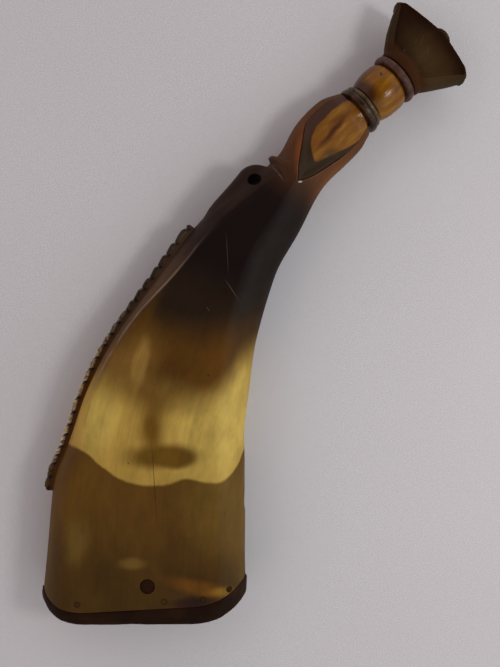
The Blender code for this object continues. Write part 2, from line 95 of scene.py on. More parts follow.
# How far each side is flattened from a quarter ellipse towards a plain chamfer.
CONVEX_FLATNESS = 0.42
CONCAVE_FLATNESS = 0.24

# Points round the front half of a section, on the convex side, the flat and the concave side.
POINTS_CONVEX = 26
POINTS_FLAT = 26
POINTS_CONCAVE = 20
SAMPLES = 240

# Points along a plain section's rounded side and along its flat, and the least rounding it may have.
PLAIN_SIDE_POINTS = 14
PLAIN_FLAT_POINTS = 20
LEAST_ROUND = 1.5

# How the face was scraped by hand: how deep in mm, how closely, and where in the noise.
HAND_DEPTH = 0.22
HAND_SCALE = 0.045
HAND_SEED = 3.1

# How a turned piece strays: how closely round it and along it.
STRAY_ROUND = 1.3
STRAY_ALONG = 0.12

# Distances between sections: along the body, past the lug and the rib, and along the neck.
BODY_STEP = 2.2
LUG_STEP = 0.55
NECK_STEP = 1.2
LUG_ZONE = (166.0, 222.0)

# The hollow starts outside the wide end and stops short of the narrow one.
HOLLOW_FROM = -3.0
HOLLOW_SHORT = 14
HOLLOW_STEP = 5

# The wide end's cut, and the board that shuts it.
END_SLANT = math.tan(math.radians(6.2))
END_FLAT = 24.0
END_CROWN = 9.0
END_FADE = 42.0
BOARD_THICK = 6.6
BOARD_PROUD = 0.8
BOARD_EASE = 1.2
BOARD_SLANT = math.tan(math.radians(3.4))
BOARD_WEAR = 0.5
BOARD_ROUND_STEPS = (0, 0.15, 0.4, 0.7, 1)
BOARD_SIDE_STEPS = (0.3, 0.6, 0.85, 1)
PLUG_LONG = 20.5
PEG_RADIUS = 3.3
PEG_SUNK = 0.5
PEG_AT = (3.1, 10.5)
PIN_RADIUS = 1.3
PIN_LONG = 9.0
PIN_SUNK = 0.15
PIN_UP = 3.3
PINS_ACROSS = (-28.0, 11.0, 28.5, 40.0)

# The notched strip on the convex edge. Its shoulder is the share of its half width past which it is
# rounded, its root lies a little inside the horn's edge, and its teeth crowd towards the lower end.
RIDGE_FROM = 46.5
RIDGE_TO = 169.5
RIDGE_TEETH = 22
RIDGE_WIDE = 4.3
RIDGE_HALF = 3.3
RIDGE_SHOULDER = 0.62
RIDGE_ROOT = -0.45
RIDGE_END_EASE = 0.8
TOOTH_DEEP = 1.7
TOOTH_STRAY = 0.16
TOOTH_CROWDING = 0.12
NOTCH_SLANT_UP = 0.32
NOTCH_SLANT_OUT = 0.4
SLIT_HALF_WIDE = 0.42
RIDGE_STEP = 0.3

# The lug: its place as a distance along the horn and across it, its radius, half its thickness, how it
# rises out of the horn's edge, how it blends into the face, and the hole for a cord, which leans.
LUG_ALONG = 200.6
LUG_ACROSS = 12.8
LUG_RADIUS = 9.2
LUG_HALF = 8.2
LUG_EASE = 3.4
LUG_STARTS = 166.0
LUG_RISE = 16.0
LUG_SET_IN = 1.2
LUG_FILLET = 7.0
LUG_FADE = (4.0, 14.0)
LUG_AT = Vector((0.0, 57.1, MIDDLE_Z))
LUG_HOLE_RADIUS = 3.2
LUG_HOLE_LEAN = 0.24
LUG_HOLE_REACH = 1.9

# The thin rib past the lug, with its pointed fin on the convex side.
RIB_OUTER = 215.6
RIB_SLANT = 0.52
RIB_HALF_WIDE = 0.8
RIB_HIGH = 1.1
RIB_FADE = (-1.0, 9.0)
FIN_HIGH = 2.5
FIN_HALF_WIDE = 1.7

# The straight axis of the neck, spout and stopper. Heights are along it from near the dark ring's middle.
NECK_AT = Vector((48.8, 92.4, MIDDLE_Z))
NECK_HEADING = math.radians(41.4)
NECK_ALONG = Vector((math.cos(NECK_HEADING), math.sin(NECK_HEADING), 0))
NECK_CONVEX = Vector((-NECK_ALONG.y, NECK_ALONG.x, 0))
TENON_RADIUS = 9.2
TENON_TOP = -2.4
TENON_FOOT = -25.0
BORE_RADIUS = 4.9
SEAT_RADIUS = 8.0
MOUTH_RADIUS = 9.0
MOUTH_HEIGHT = 23.6

# The spout's outside between its mouth and the rings: the radius and the height.
BARREL = (
    ((9.0, 20.4), (10.3, 20.0), (11.2, 18.6), (11.7, 16.2), (11.8, 13.2))
    + ((11.6, 10.2), (11.0, 7.6), (10.3, 5.8), (9.9, 4.5))
)

# The rings on the spout: name, the seat's radius, the outer radius, the lowest and the highest height,
# how far the edges are eased, the material, the slot and the node.
RINGS = (
    ("dark_ring", SEAT_RADIUS, 11.9, -1.4, 1.6, 0.8, "dark", "dark_horn", "neck_ring_dark"),
    ("olive_ring", SEAT_RADIUS, 11.1, 1.9, 4.0, 0.7, "olive", "olive_horn", "neck_ring_olive"),
    ("lip_ring", MOUTH_RADIUS, 12.4, 20.6, 24.1, 1.1, "purple", "purple_horn", "lip_collar"),
)
DOWEL_RADIUS = 4.6
DOWEL_FOOT = 2.0

# The leaf-shaped window in the neck: height along the axis, and how far across to the convex side.
LEAF = (
    ((-45.0, -6.6), (-43.6, -5.6), (-40.5, -2.2), (-36.0, 1.6), (-31.0, 5.6), (-27.0, 8.8))
    + ((-23.0, 11.6), (-17.0, 14.6), (-12.0, 19.0), (3.0, 19.0), (3.0, -16.5))
    + ((-6.0, -13.2), (-13.0, -12.5), (-21.0, -11.8), (-31.0, -10.8), (-39.0, -9.6), (-43.8, -7.9))
)
LEAF_STRAIGHT = 12
LEAF_DEPTH = 6.2
LEAF_SUNK = 0.5
LEAF_DROP = 2.0
LEAF_WALL = 4.0

# The window's lip: how far the cutter is drawn in, and its height over the horn's surface. The last row
# is on the window's floor.
LEAF_LIP = ((-1.3, 20.0), (-1.3, 1.2), (-0.5, 0.12), (-0.18, -0.12), (0.0, -0.55), (0.12, None))
LIP_LEAST = 0.8

# Far enough for a cutter to reach past what it cuts, and for a ray to start well outside.
PAST = 20
FAR_OUT = 40

# The cheek in each window reaches this far down from the horn's narrow end.
CHEEK_LONG = 54
CHEEK_STEP = 0.9

# The stopper's fan: height, half thickness, the chamfer's width, and the reach to each side. Its rim
# bows out by the apex in its middle, its corners are eased, and its face is dished.
FAN = (
    (27.1, 9.3, 4.4, 11.4, 10.8),
    (30.0, 9.2, 4.4, 14.4, 12.8),
    (34.5, 8.6, 4.1, 18.2, 15.6),
    (41.0, 7.6, 3.4, 22.2, 19.4),
    (47.4, 6.6, 2.2, 25.4, 22.4),
)
FAN_APEX = 4.2
FAN_CORNER = 2.8
FAN_CORNER_TURNS = (15, 30, 45, 60, 75, 84, 90)
FAN_EASE = 0.9
FAN_BOW = 1.35
FAN_DISH = 0.35
FAN_DISH_STARTS = (30, 40)
FAN_EDGE_LEAST = 1.5
FAN_EDGE_ROUND = 0.5
FAN_COLUMNS = 40
FAN_STEP = 1.5
DOWEL_PROUD = 2.8

# The round foot under the fan: the radius and the height.
FOOT = ((0, 31), (11.0, 31), (12.2, 28.0), (12.3, 26.6), (11.6, 24.6), (0, 24.3))

# Sides of turned pieces, of round bars, of the peg and of the pins.
SIDES = 96
BAR_SIDES = 64
DOWEL_SIDES = 48
PEG_SIDES = 48
PEG_HOLE_SIDES = 40
PIN_SIDES = 20

# How many points of a horn piece are placed along the middle line at a time.
BATCH = 4000


# ---- shape functions shared by the horn and what follows it ----


def hermite(a, b, slope_a, slope_b, t):
    """A cubic from a to b whose slopes at both ends are given, at t from 0 to 1."""
    return (
        (2 * t**3 - 3 * t**2 + 1) * a
        + (t**3 - 2 * t**2 + t) * slope_a
        + (3 * t**2 - 2 * t**3) * b
        + (t**3 - t**2) * slope_b
    )


def station_distances():
    found = [0.0]
    for one, two in zip(STATIONS, STATIONS[1:]):
        found.append(found[-1] + math.dist(one[:2], two[:2]))
    return found


DISTANCES = station_distances()
HORN_LONG = DISTANCES[-1]


def station_slopes():
    last = len(STATIONS) - 1
    found = []
    for i in range(last + 1):
        low, high = max(i - 1, 0), min(i + 1, last)
        run = DISTANCES[high] - DISTANCES[low]
        found.append([(b - a) / run for a, b in zip(STATIONS[low], STATIONS[high])])
    return found


SLOPES = station_slopes()


def horn_at(distance):
    """The station's columns, in mm, at a distance along the middle line."""
    inside = min(max(distance, 0.0), HORN_LONG)
    i = min(max(bisect.bisect_right(DISTANCES, inside) - 1, 0), len(STATIONS) - 2)
    run = DISTANCES[i + 1] - DISTANCES[i]
    t = (inside - DISTANCES[i]) / run
    rows = zip(STATIONS[i], STATIONS[i + 1], SLOPES[i], SLOPES[i + 1])
    return [hermite(a, b, sa * run, sb * run, t) for a, b, sa, sb in rows]


def horn_frame(distance):
    """The middle line's place, and the directions along it and across it to the concave side."""
    before = horn_at(max(distance, 0) - HEADING_REACH)
    after = horn_at(max(distance, 0) + HEADING_REACH)
    along = Vector((after[0] - before[0], after[1] - before[1], 0)).normalized()
    across = Vector((along.y, -along.x, 0))
    x, y = horn_at(distance)[:2]
    place = Vector((x, y, MIDDLE_Z)) + along * min(distance, 0)
    return place, along, across


def end_curve(across, distance, slant=END_SLANT):
    """How far the wide end's cut carries a point along the horn, dying out away from the end."""
    half_wide = STATIONS[0][2] / 2
    share = max(abs(across) - END_FLAT, 0) / (half_wide - END_FLAT)
    fade = min(max(1 - distance / END_FADE, 0), 1)
    return (END_CROWN * share**2 + slant * across) * fade**2


def smooth(value, low, high):
    """0 below low and 1 above high, with an easy curve between."""
    t = np.clip((value - low) / (high - low), 0, 1)
    return t * t * (3 - 2 * t)


def steps_between(start, end, step):
    count = max(math.ceil((end - start) / step), 1)
    return [start + (end - start) * i / count for i in range(count + 1)]


def neck_point(height, across=0.0, up=0.0):
    return NECK_AT + NECK_ALONG * height + NECK_CONVEX * across + Vector((0, 0, up))


# ---- mesh helpers ----


def new_object(name, points, faces):
    """A mesh object from points in mm, with its faces pointing out."""
    mesh = bpy.data.meshes.new(name)
    mesh.from_pydata([tuple(Vector(point) * MM) for point in points], [], faces)
    bm = bmesh.new()
    bm.from_mesh(mesh)
    bmesh.ops.recalc_face_normals(bm, faces=bm.faces)
    bm.to_mesh(mesh)
    bm.free()
    made = bpy.data.objects.new(name, mesh)
    bpy.context.scene.collection.objects.link(made)
    return made


def ring_faces(count, layers):
    """Faces between rings of count points that are numbered one after another."""
    faces = []
    for layer in range(layers - 1):
        low, high = layer * count, (layer + 1) * count
        for i in range(count):
            j = (i + 1) % count
            faces.append((low + i, low + j, high + j, high + i))
    return faces


def end_faces(count, layers):
    """One face across the first ring and one across the last."""
    return [tuple(range(count)), tuple(range((layers - 1) * count, layers * count))]


def mirrored(front):
    """A front half as (across, up), with its mirror image behind it."""
    return front + [(across, -up) for across, up in reversed(front[1:-1])]


def loft(name, rings):
    """A closed solid through rings of equal length, each a half outline and its mirror image. Each end is
    closed by strips that join the two halves."""
    count = len(rings[0])
    faces = ring_faces(count, len(rings))
    for start in (0, (len(rings) - 1) * count):
        for i in range(count // 2):
            corners = [start + i, start + i + 1, start + count - i - 1, start + (count - i) % count]
            if i == 0:
                corners.pop()
            elif i == count // 2 - 1:
                corners.pop(2)
            faces.append(tuple(corners))
    return new_object(name, [point for ring in rings for point in ring], faces)


def turned(name, profile, sides=SIDES, wobble=0.0, seed=0):
    """A profile of (radius, height) turned about the neck's axis. It closes on itself, or on the axis.
    Wobble is how far, in mm, the radius strays as on a piece cut by hand."""
    points, rows = [], []
    closed = profile[0][0] > 0
    for radius, height in profile:
        if radius == 0:
            rows.append([len(points)] * sides)
            points.append(neck_point(height))
            continue
        rows.append(list(range(len(points), len(points) + sides)))
        for i in range(sides):
            turn = 2 * math.pi * i / sides
            x, y = math.cos(turn), math.sin(turn)
            stray = noise.noise((x * STRAY_ROUND, y * STRAY_ROUND, height * STRAY_ALONG + seed))
            reach = radius + stray * wobble
            points.append(neck_point(height, reach * x, reach * y))
    faces = []
    pairs = list(zip(rows, rows[1:] + rows[:1])) if closed else list(zip(rows, rows[1:]))
    for low, high in pairs:
        for i in range(sides):
            j = (i + 1) % sides
            corners = dict.fromkeys((low[i], low[j], high[j], high[i]))
            faces.append(tuple(corners))
    return new_object(name, points, faces)


def prism(name, outline, low, high):
    """An outline of points in X and Y, carried up from low to high in Z."""
    points = [(x, y, low) for x, y in outline] + [(x, y, high) for x, y in outline]
    return new_object(name, points, end_faces(len(outline), 2) + ring_faces(len(outline), 2))


def round_bar(name, radius, start, end, sides=BAR_SIDES, dome=0.0):
    """A bar between two points, with its ends domed by dome."""
    run = (end - start).normalized()
    one = run.orthogonal().normalized()
    two = run.cross(one)
    ease = max(dome, 0.2)
    stations = ((0, -dome), (ease * 0.35, -dome * 0.35), (ease, 0))
    rows = [(start + run * offset, radius + grow) for offset, grow in stations]
    rows += [(end - run * offset, radius + grow) for offset, grow in reversed(stations)]
    points = []
    for place, reach in rows:
        for i in range(sides):
            turn = 2 * math.pi * i / sides
            points.append(place + one * (reach * math.cos(turn)) + two * (reach * math.sin(turn)))
    return new_object(name, points, ring_faces(sides, len(rows)) + end_faces(sides, len(rows)))


def applied(target):
    """The object with its modifiers worked into its mesh."""
    graph = bpy.context.evaluated_depsgraph_get()
    mesh = bpy.data.meshes.new_from_object(target.evaluated_get(graph), depsgraph=graph)
    target.modifiers.clear()
    target.data = mesh
    return target


def cut(target, cutters, operation="DIFFERENCE"):
    """Cuts, joins or keeps what is shared, one cutter after another, and removes the cutters."""
    for cutter in cutters:
        step = target.modifiers.new(cutter.name, "BOOLEAN")
        step.object = cutter
        step.operation = operation
        step.solver = "EXACT"
    applied(target)
    for cutter in cutters:
        bpy.data.objects.remove(cutter, do_unlink=True)
    return target


def soften(target, width, angle):
    """Rounds every edge sharper than the angle."""
    ease = target.modifiers.new("ease", "BEVEL")
    ease.width = width * MM
    ease.segments = 2
    ease.angle_limit = math.radians(angle)
    ease.limit_method = "ANGLE"
    return applied(target)


def finished(target, material, body, slot, *nodes, sharp=32):
    """Shades a piece, gives it its material, and puts it in the place of its CAD nodes."""
    target.data.shade_smooth()
    target.data.set_sharp_from_angle(angle=math.radians(sharp))
    target.data.materials.clear()
    target.data.materials.append(material)
    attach(target, body)
    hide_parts(*nodes)


def vertex_places(mesh):
    """The mesh's points in mm, as rows of an array."""
    flat = np.empty(len(mesh.vertices) * 3, np.float32)
    mesh.vertices.foreach_get("co", flat)
    return flat.reshape(-1, 3).astype(float) / MM


def store(target, name, rows):
    """Keeps three numbers for each point of the mesh, for the materials to read."""
    attribute = target.data.attributes.new(name, "FLOAT_VECTOR", "POINT")
    attribute.data.foreach_set("vector", rows.astype(np.float32).ravel())


def grain_along_horn(target):
    """Keeps grain coordinates that bend with the horn: across it, up, and along its middle line, in mm."""
    places = vertex_places(target.data)
    distances = np.arange(-10.0, HORN_LONG, 1.0)
    frames = [horn_frame(distance) for distance in distances]
    centres = np.array([place[:2] for place, _, _ in frames])
    alongs = np.array([along[:2] for _, along, _ in frames])
    sideways = np.array([across[:2] for _, _, across in frames])
    found = np.empty((len(places), 3))
    for start in range(0, len(places), BATCH):
        part = places[start : start + BATCH]
        offsets = part[:, None, :2] - centres[None]
        nearest = (offsets**2).sum(2).argmin(1)
        offset = offsets[np.arange(len(part)), nearest]
        into = found[start : start + BATCH]
        into[:, 0] = (offset * sideways[nearest]).sum(1)
        into[:, 1] = part[:, 2] - MIDDLE_Z
        into[:, 2] = distances[nearest] + (offset * alongs[nearest]).sum(1)
    store(target, "grain", found)
    return found


def rim_distances(places):
    """How far places in X and Y are from the outline of the leaf-shaped windows."""
    starts = np.array([tuple(point) for point in leaf_outline(0)])
    runs = np.roll(starts, -1, axis=0) - starts
    found = []
    for place in places:
        offset = place - starts
        share = np.clip((offset * runs).sum(1) / (runs**2).sum(1), 0, 1)
        found.append(np.sqrt(((offset - runs * share[:, None]) ** 2).sum(1)).min())
    return found


def store_edges(target, grain):
    """Keeps how far each point of the horn is, in mm, from the convex edge, from the concave edge, and from
    the rim of the leaf-shaped windows. Far from a window, that last one is just a large number."""
    places = vertex_places(target.data)
    distances = np.linspace(0, HORN_LONG, 400)
    halves = np.array([horn_at(distance)[2] / 2 for distance in distances])
    half = np.interp(grain[:, 2], distances, halves)
    rim = np.full(len(places), 50.0)
    in_neck = grain[:, 2] > HORN_LONG - CHEEK_LONG - 2
    near = in_neck & (np.abs(grain[:, 1]) > LEAF_DEPTH - 2 * GAP)
    rim[near] = rim_distances(places[near, :2])
    store(target, "edges", np.stack([half + grain[:, 0], half - grain[:, 0], rim], axis=1))


def grain_along_neck(target):
    """Keeps grain coordinates of the neck: across to the convex side, up, and along its axis, in mm."""
    offsets = vertex_places(target.data) - np.array(NECK_AT)
    columns = [offsets @ np.array(NECK_CONVEX), offsets[:, 2], offsets @ np.array(NECK_ALONG)]
    store(target, "grain", np.stack(columns, axis=1))


# ---- the horn ----


def side_curve(width, height, flatness):
    """A side from its edge in to the flat: a quarter ellipse, drawn towards a plain chamfer."""
    share = np.linspace(0, 1, 120)
    turn = share * math.pi / 2
    out = (1 - flatness) * width * (1 - np.cos(turn)) + flatness * width * share
    up = (1 - flatness) * height * np.sin(turn) + flatness * height * share
    return out, up


def lug_edge(distance):
    """How far the lug reaches across from the middle line."""
    if distance <= LUG_ALONG:
        set_in = 1 - float(smooth(distance, LUG_STARTS, LUG_STARTS + LUG_RISE))
        return LUG_ACROSS + LUG_RADIUS - LUG_SET_IN * set_in
    return LUG_ACROSS + math.sqrt(max(LUG_RADIUS**2 - (distance - LUG_ALONG) ** 2, 0))


def convex_edge(distance):
    """How far the convex edge is from the middle line, and how much lug there is, from 0 to 1."""
    half_wide = horn_at(distance)[2] / 2
    lug = lug_edge(distance) if LUG_STARTS < distance < LUG_ALONG + LUG_RADIUS else 0
    reach = max(lug - half_wide, 0)
    fin = FIN_HIGH * math.exp(-(((distance - RIB_OUTER) / FIN_HALF_WIDE) ** 4))
    return half_wide + reach + fin, min(reach / LUG_SET_IN, 1)


def rib_height(distance, across, edge):
    """The rib's height above the neck, fading from the convex edge to the middle line."""
    line = RIB_OUTER + (-across - edge) * RIB_SLANT
    return RIB_HIGH * smooth(-across, *RIB_FADE) * np.exp(-(((distance - line) / RIB_HALF_WIDE) ** 2))


def front_height(distance, across):
    """Half the horn's thickness at places across it."""
    _, _, wide, thick, left, right, _, _ = horn_at(distance)
    half_wide, half_thick = wide / 2, thick / 2
    edge, lug = convex_edge(distance)
    start = -half_wide if lug else -edge
    left_wide = left if lug else left + edge - half_wide
    left_out, left_up = side_curve(left_wide, half_thick, CONVEX_FLATNESS)
    right_out, right_up = side_curve(right, half_thick, CONCAVE_FLATNESS)
    xs = np.concatenate([start + left_out, half_wide - right_out[::-1]])
    ys = np.concatenate([left_up, right_up[::-1]])
    body = np.interp(across, xs, ys, left=0)
    if lug:
        inward = np.clip((across + edge) / LUG_EASE, 0, 1)
        flange = LUG_HALF * np.sqrt(1 - (1 - inward) ** 2)
        flange *= 1 - smooth(across + half_wide, *LUG_FADE)
        low = np.minimum(body, flange) / LUG_HALF
        spread = np.sqrt((body - flange) ** 2 + (LUG_FILLET * low) ** 2)
        body = np.maximum(body, (body + flange + spread) / 2 * lug + body * (1 - lug))
    root = np.sqrt(np.clip(body / half_thick, 0, 1))
    return body + rib_height(distance, across, half_wide) * root


def resample(xs, ys, count):
    """Points evenly spaced along a line of samples."""
    runs = np.concatenate([[0], np.cumsum(np.hypot(np.diff(xs), np.diff(ys)))])
    wanted = np.linspace(0, runs[-1], count)
    return np.interp(wanted, runs, xs), np.interp(wanted, runs, ys)


def front_half(distance):
    """The front half of a fine section, from the convex edge to the concave edge, as (across, up)."""
    _, _, wide, _, left, right, _, _ = horn_at(distance)
    edge, _ = convex_edge(distance)
    crease, shoulder = -wide / 2 + left, wide / 2 - right
    share = np.linspace(0, 1, SAMPLES) ** 2
    parts = (
        (-edge + (crease + edge) * share, POINTS_CONVEX),
        (np.linspace(crease, shoulder, SAMPLES), POINTS_FLAT),
        ((wide / 2 - right * share)[::-1], POINTS_CONCAVE),
    )
    points = []
    for across, count in parts:
        xs, ys = resample(across, front_height(distance, across), count)
        points += list(zip(xs, ys))[1 if points else 0 :]
    for end in (0, -1):
        points[end] = (points[end][0], 0.0)
    return points


def plain_half(distance, hollow, grow, grow_up):
    """The front half of a section of the hollow or of the horn, swollen by what is given."""
    _, _, wide, thick, left, right, wall_across, wall_up = horn_at(distance)
    inset_across = wall_across if hollow else 0
    inset_up = wall_up if hollow else 0
    half_wide = wide / 2 - inset_across + grow
    half_thick = thick / 2 - inset_up + grow_up
    points = []
    for width, sign in ((left, -1), (right, 1)):
        rounded = max(min(width - inset_across / 2 + grow, half_wide - 0.25), LEAST_ROUND)
        flatness = CONVEX_FLATNESS if sign < 0 else CONCAVE_FLATNESS
        xs, ys = resample(*side_curve(rounded, half_thick, flatness), PLAIN_SIDE_POINTS)
        side = [(sign * (half_wide - x), y) for x, y in zip(xs, ys)]
        points.append(side if sign < 0 else side[::-1])
    crease, shoulder = points[0][-1][0], points[1][0][0]
    count = PLAIN_FLAT_POINTS
    flat = [(crease + (shoulder - crease) * i / count, half_thick) for i in range(1, count)]
    return points[0] + flat + points[1]


def in_space(front, distance, slant=END_SLANT):
    """A front half and its mirror image, carried to their place along the horn."""
    place, along, sideways = horn_frame(distance)
    return [
        place + sideways * across + along * end_curve(across, distance, slant) + Vector((0, 0, up))
        for across, up in mirrored(front)
    ]


def plain_ring(distance, hollow=False, grow=0.0, grow_up=0.0, slant=END_SLANT):
    return in_space(plain_half(distance, hollow, grow, grow_up), distance, slant)


def horn_distances():
    low, high = LUG_ZONE
    found = steps_between(0, low, BODY_STEP)
    found += steps_between(low, high, LUG_STEP)[1:]
    found += steps_between(high, HORN_LONG, NECK_STEP)[1:]
    return found


def hand_worked(places):
    """Points moved in and out a little in Z, as on a face scraped flat by hand."""
    moved = []
    for place in places:
        swell = noise.noise(Vector((place.x, place.y, HAND_SEED)) * HAND_SCALE)
        side = 1 if place.z > MIDDLE_Z else -1
        share = abs(place.z - MIDDLE_Z) / MIDDLE_Z
        moved.append(place - Vector((0, 0, side * share**2 * HAND_DEPTH * (0.5 + 0.5 * swell))))
    return moved


def leaf_outline(inset):
    """The leaf's outline in X and Y, drawn in on every side by inset."""
    points = [neck_point(height, across).to_2d() for height, across in LEAF]
    drawn = []
    for i, point in enumerate(points):
        before, after = points[i - 1], points[(i + 1) % len(points)]
        tangent = (after - before).normalized()
        drawn.append(point + Vector((tangent.y, -tangent.x)) * inset)
    return smoothed(drawn)


def smoothed(points, cuts=4):
    """A closed line through the points, with rounded corners where they are close together."""
    found = []
    count = len(points)
    for i, point in enumerate(points):
        before, after, later = points[i - 1], points[(i + 1) % count], points[(i + 2) % count]
        straight = (after - point).length > LEAF_STRAIGHT
        for k in range(cuts):
            t = k / cuts
            if straight:
                found.append(point.lerp(after, t))
                continue
            slope_a, slope_b = (after - before) / 2, (later - point) / 2
            longest = (after - point).length * 1.2
            slope_a = slope_a.normalized() * min(slope_a.length, longest)
            slope_b = slope_b.normalized() * min(slope_b.length, longest)
            found.append(hermite(point, after, slope_a, slope_b, t))
    return found


def leaf_cutter(name, tree, side):
    """The leaf window's cutter on the front (side 1) or the back (-1): it flares at the horn's surface, so
    that the window's lip is rounded."""
    floor = LEAF_DEPTH - GAP
    points = []
    for inset, rise in LEAF_LIP:
        for point in leaf_outline(inset):
            above = Vector((point.x, point.y, MIDDLE_Z + side * FAR_OUT))
            hit = tree.ray_cast(above * MM, Vector((0, 0, -side)))[0]
            surface = abs(hit.z / MM - MIDDLE_Z) if hit else floor
            height = floor if rise is None else max(surface, floor + LIP_LEAST) + rise
            points.append((point.x, point.y, MIDDLE_Z + side * height))
    layers = len(LEAF_LIP)
    count = len(points) // layers
    cutter = new_object(name, points, end_faces(count, layers) + ring_faces(count, layers))
    bm = bmesh.new()
    bm.from_mesh(cutter.data)
    bmesh.ops.triangulate(bm, faces=[face for face in bm.faces if len(face.verts) > 4])
    bm.to_mesh(cutter.data)
    bm.free()
    return cutter


def hollow_cutter():
    """The hollow: open at the wide end, and stopping short of the narrow one."""
    distances = [HOLLOW_FROM] + steps_between(0, HORN_LONG - HOLLOW_SHORT, HOLLOW_STEP)
    return loft("hollow", [plain_ring(distance, hollow=True) for distance in distances])


def make_horn(material):
    """The horn: hollow, with its windows, the spout's socket, the cord's hole and the pegs' holes."""
    horn = loft("horn_shell", [hand_worked(in_space(front_half(d), d)) for d in horn_distances()])
    tree = BVHTree.FromObject(horn, bpy.context.evaluated_depsgraph_get())
    windows = [leaf_cutter(f"window_{side}", tree, side) for side in (1, -1)]
    socket = round_bar("socket", TENON_RADIUS + GAP, neck_point(TENON_FOOT - GAP), neck_point(PAST))
    reach = Vector((0, LUG_HALF * LUG_HOLE_LEAN, LUG_HALF * LUG_HOLE_REACH))
    cord_hole = round_bar("cord_hole", LUG_HOLE_RADIUS, LUG_AT - reach, LUG_AT + reach)
    cut(horn, [hollow_cutter(), socket, cord_hole, *windows, *peg_holes()])
    store_edges(horn, grain_along_horn(horn))
    finished(horn, material, "flask", "horn", "horn_body")


# ---- the wide end ----


def peg_place(across, up_from_end, height):
    place, along, sideways = horn_frame(up_from_end)
    carried = end_curve(across, up_from_end)
    return place + sideways * across + along * carried + Vector((0, 0, height - MIDDLE_Z))


def pin_ends():
    """Each pin's name, its outer end, a little below the horn's surface, and its inner end."""
    for word, side in (("front", 1), ("back", -1)):
        for i, across in enumerate(PINS_ACROSS, 1):
            rise = float(front_height(PIN_UP, np.array([across]))[0])
            outer = MIDDLE_Z + side * (rise - PIN_SUNK)
            inner = MIDDLE_Z + side * (MIDDLE_Z - PIN_SUNK - PIN_LONG)
            yield f"{word}_{i}", peg_place(across, PIN_UP, outer), peg_place(across, PIN_UP, inner)


def peg_ends():
    across, up_from_end = PEG_AT
    low = peg_place(across, up_from_end, PEG_SUNK)
    return low, peg_place(across, up_from_end, 2 * MIDDLE_Z - PEG_SUNK)


def peg_holes():
    """Cutters for the peg and the pins."""
    low, high = peg_ends()
    past = Vector((0, 0, 3))
    holes = [round_bar("peg_hole", PEG_RADIUS + PEG_GAP, low - past, high + past, PEG_HOLE_SIDES)]
    for name, outer, inner in pin_ends():
        out = (outer - inner).normalized()
        ends = (outer + out * 3, inner - out * PEG_GAP)
        holes.append(round_bar(f"pin_hole_{name}", PIN_RADIUS + PEG_GAP, *ends, PIN_SIDES))
    return holes


def make_pegs(material, pin_material):
    peg = round_bar("board_peg", PEG_RADIUS, *peg_ends(), PEG_SIDES, dome=0.12)
    grain_along_horn(peg)
    finished(peg, material, "flask", "peg_wood", "base_peg")
    for name, outer, inner in pin_ends():
        pin = round_bar(f"board_pin_{name}", PIN_RADIUS, inner, outer, PIN_SIDES, dome=0.1)
        grain_along_horn(pin)
        finished(pin, pin_material, "flask", "peg_wood", f"base_pin_{name}")


def make_board(material):
    """The board with worn, slightly chipped edges, and the plug behind it."""
    low, high = -GAP - BOARD_THICK, -GAP
    rings = []
    for share in BOARD_ROUND_STEPS:
        ease = BOARD_EASE * (1 - math.sqrt(1 - (1 - share) ** 2))
        grow = BOARD_PROUD - ease
        rings.append(plain_ring(low + BOARD_EASE * share, False, grow, -ease, BOARD_SLANT))
    for share in BOARD_SIDE_STEPS:
        distance = low + BOARD_EASE + (high - low - BOARD_EASE) * share
        ease = 0.5 * smooth(share, 0.8, 1)
        slant = BOARD_SLANT + (END_SLANT - BOARD_SLANT) * share
        rings.append(plain_ring(distance, False, BOARD_PROUD - ease, -ease, slant))
    rings = [worn(ring, i) for i, ring in enumerate(rings)]
    rings.append(plain_ring(high, True, -GAP, -GAP))
    for distance in steps_between(0, PLUG_LONG - BOARD_EASE, 4):
        rings.append(plain_ring(distance, True, -GAP, -GAP))
    rings.append(plain_ring(PLUG_LONG, True, -GAP - BOARD_EASE, -GAP - BOARD_EASE))
    board = cut(loft("end_board", rings), peg_holes())
    grain_along_horn(board)
    finished(board, material, "flask", "board_wood", "base_board")


def worn(ring, layer):
    """A ring of the board, drawn in a little here and there."""
    middle = sum(ring, Vector()) / len(ring)
    moved = []
    for point in ring:
        wear = max(noise.noise(Vector((point.x * 0.13, point.z * 0.2, layer * 0.25))), 0)
        moved.append(point + (middle - point).normalized() * (wear * BOARD_WEAR))
    return moved


# ---- the notched strip ----


def tooth_line(distance, out, up):
    """How deep the notches cut at a point of the strip: 1 in a notch and 0 on a tooth's crest. The notches
    slant across the strip and stand closer towards its lower end, and no two teeth are quite alike."""
    long = RIDGE_TO - RIDGE_FROM
    pitch = long / RIDGE_TEETH
    share = (distance - RIDGE_FROM + up * NOTCH_SLANT_UP + out * NOTCH_SLANT_OUT) / long
    count = RIDGE_TEETH * share * (1 + TOOTH_CROWDING * (1 - share))
    index = round(count)
    rise = count - math.floor(count)
    stray = noise.noise((index * 1.7, 0.4, 2.2)) * TOOTH_STRAY
    half_wide = 0.62 + 0.18 * noise.noise((index * 0.9, 5.0, 1.0))
    groove = math.exp(-(((count - index - stray) * pitch / half_wide) ** 2))
    second = math.exp(-(((rise - 0.45 - stray) * pitch / SLIT_HALF_WIDE) ** 2))
    return max(groove, 0.75 * (1 - share) * second, 0.45 * (1 - rise) ** 2)


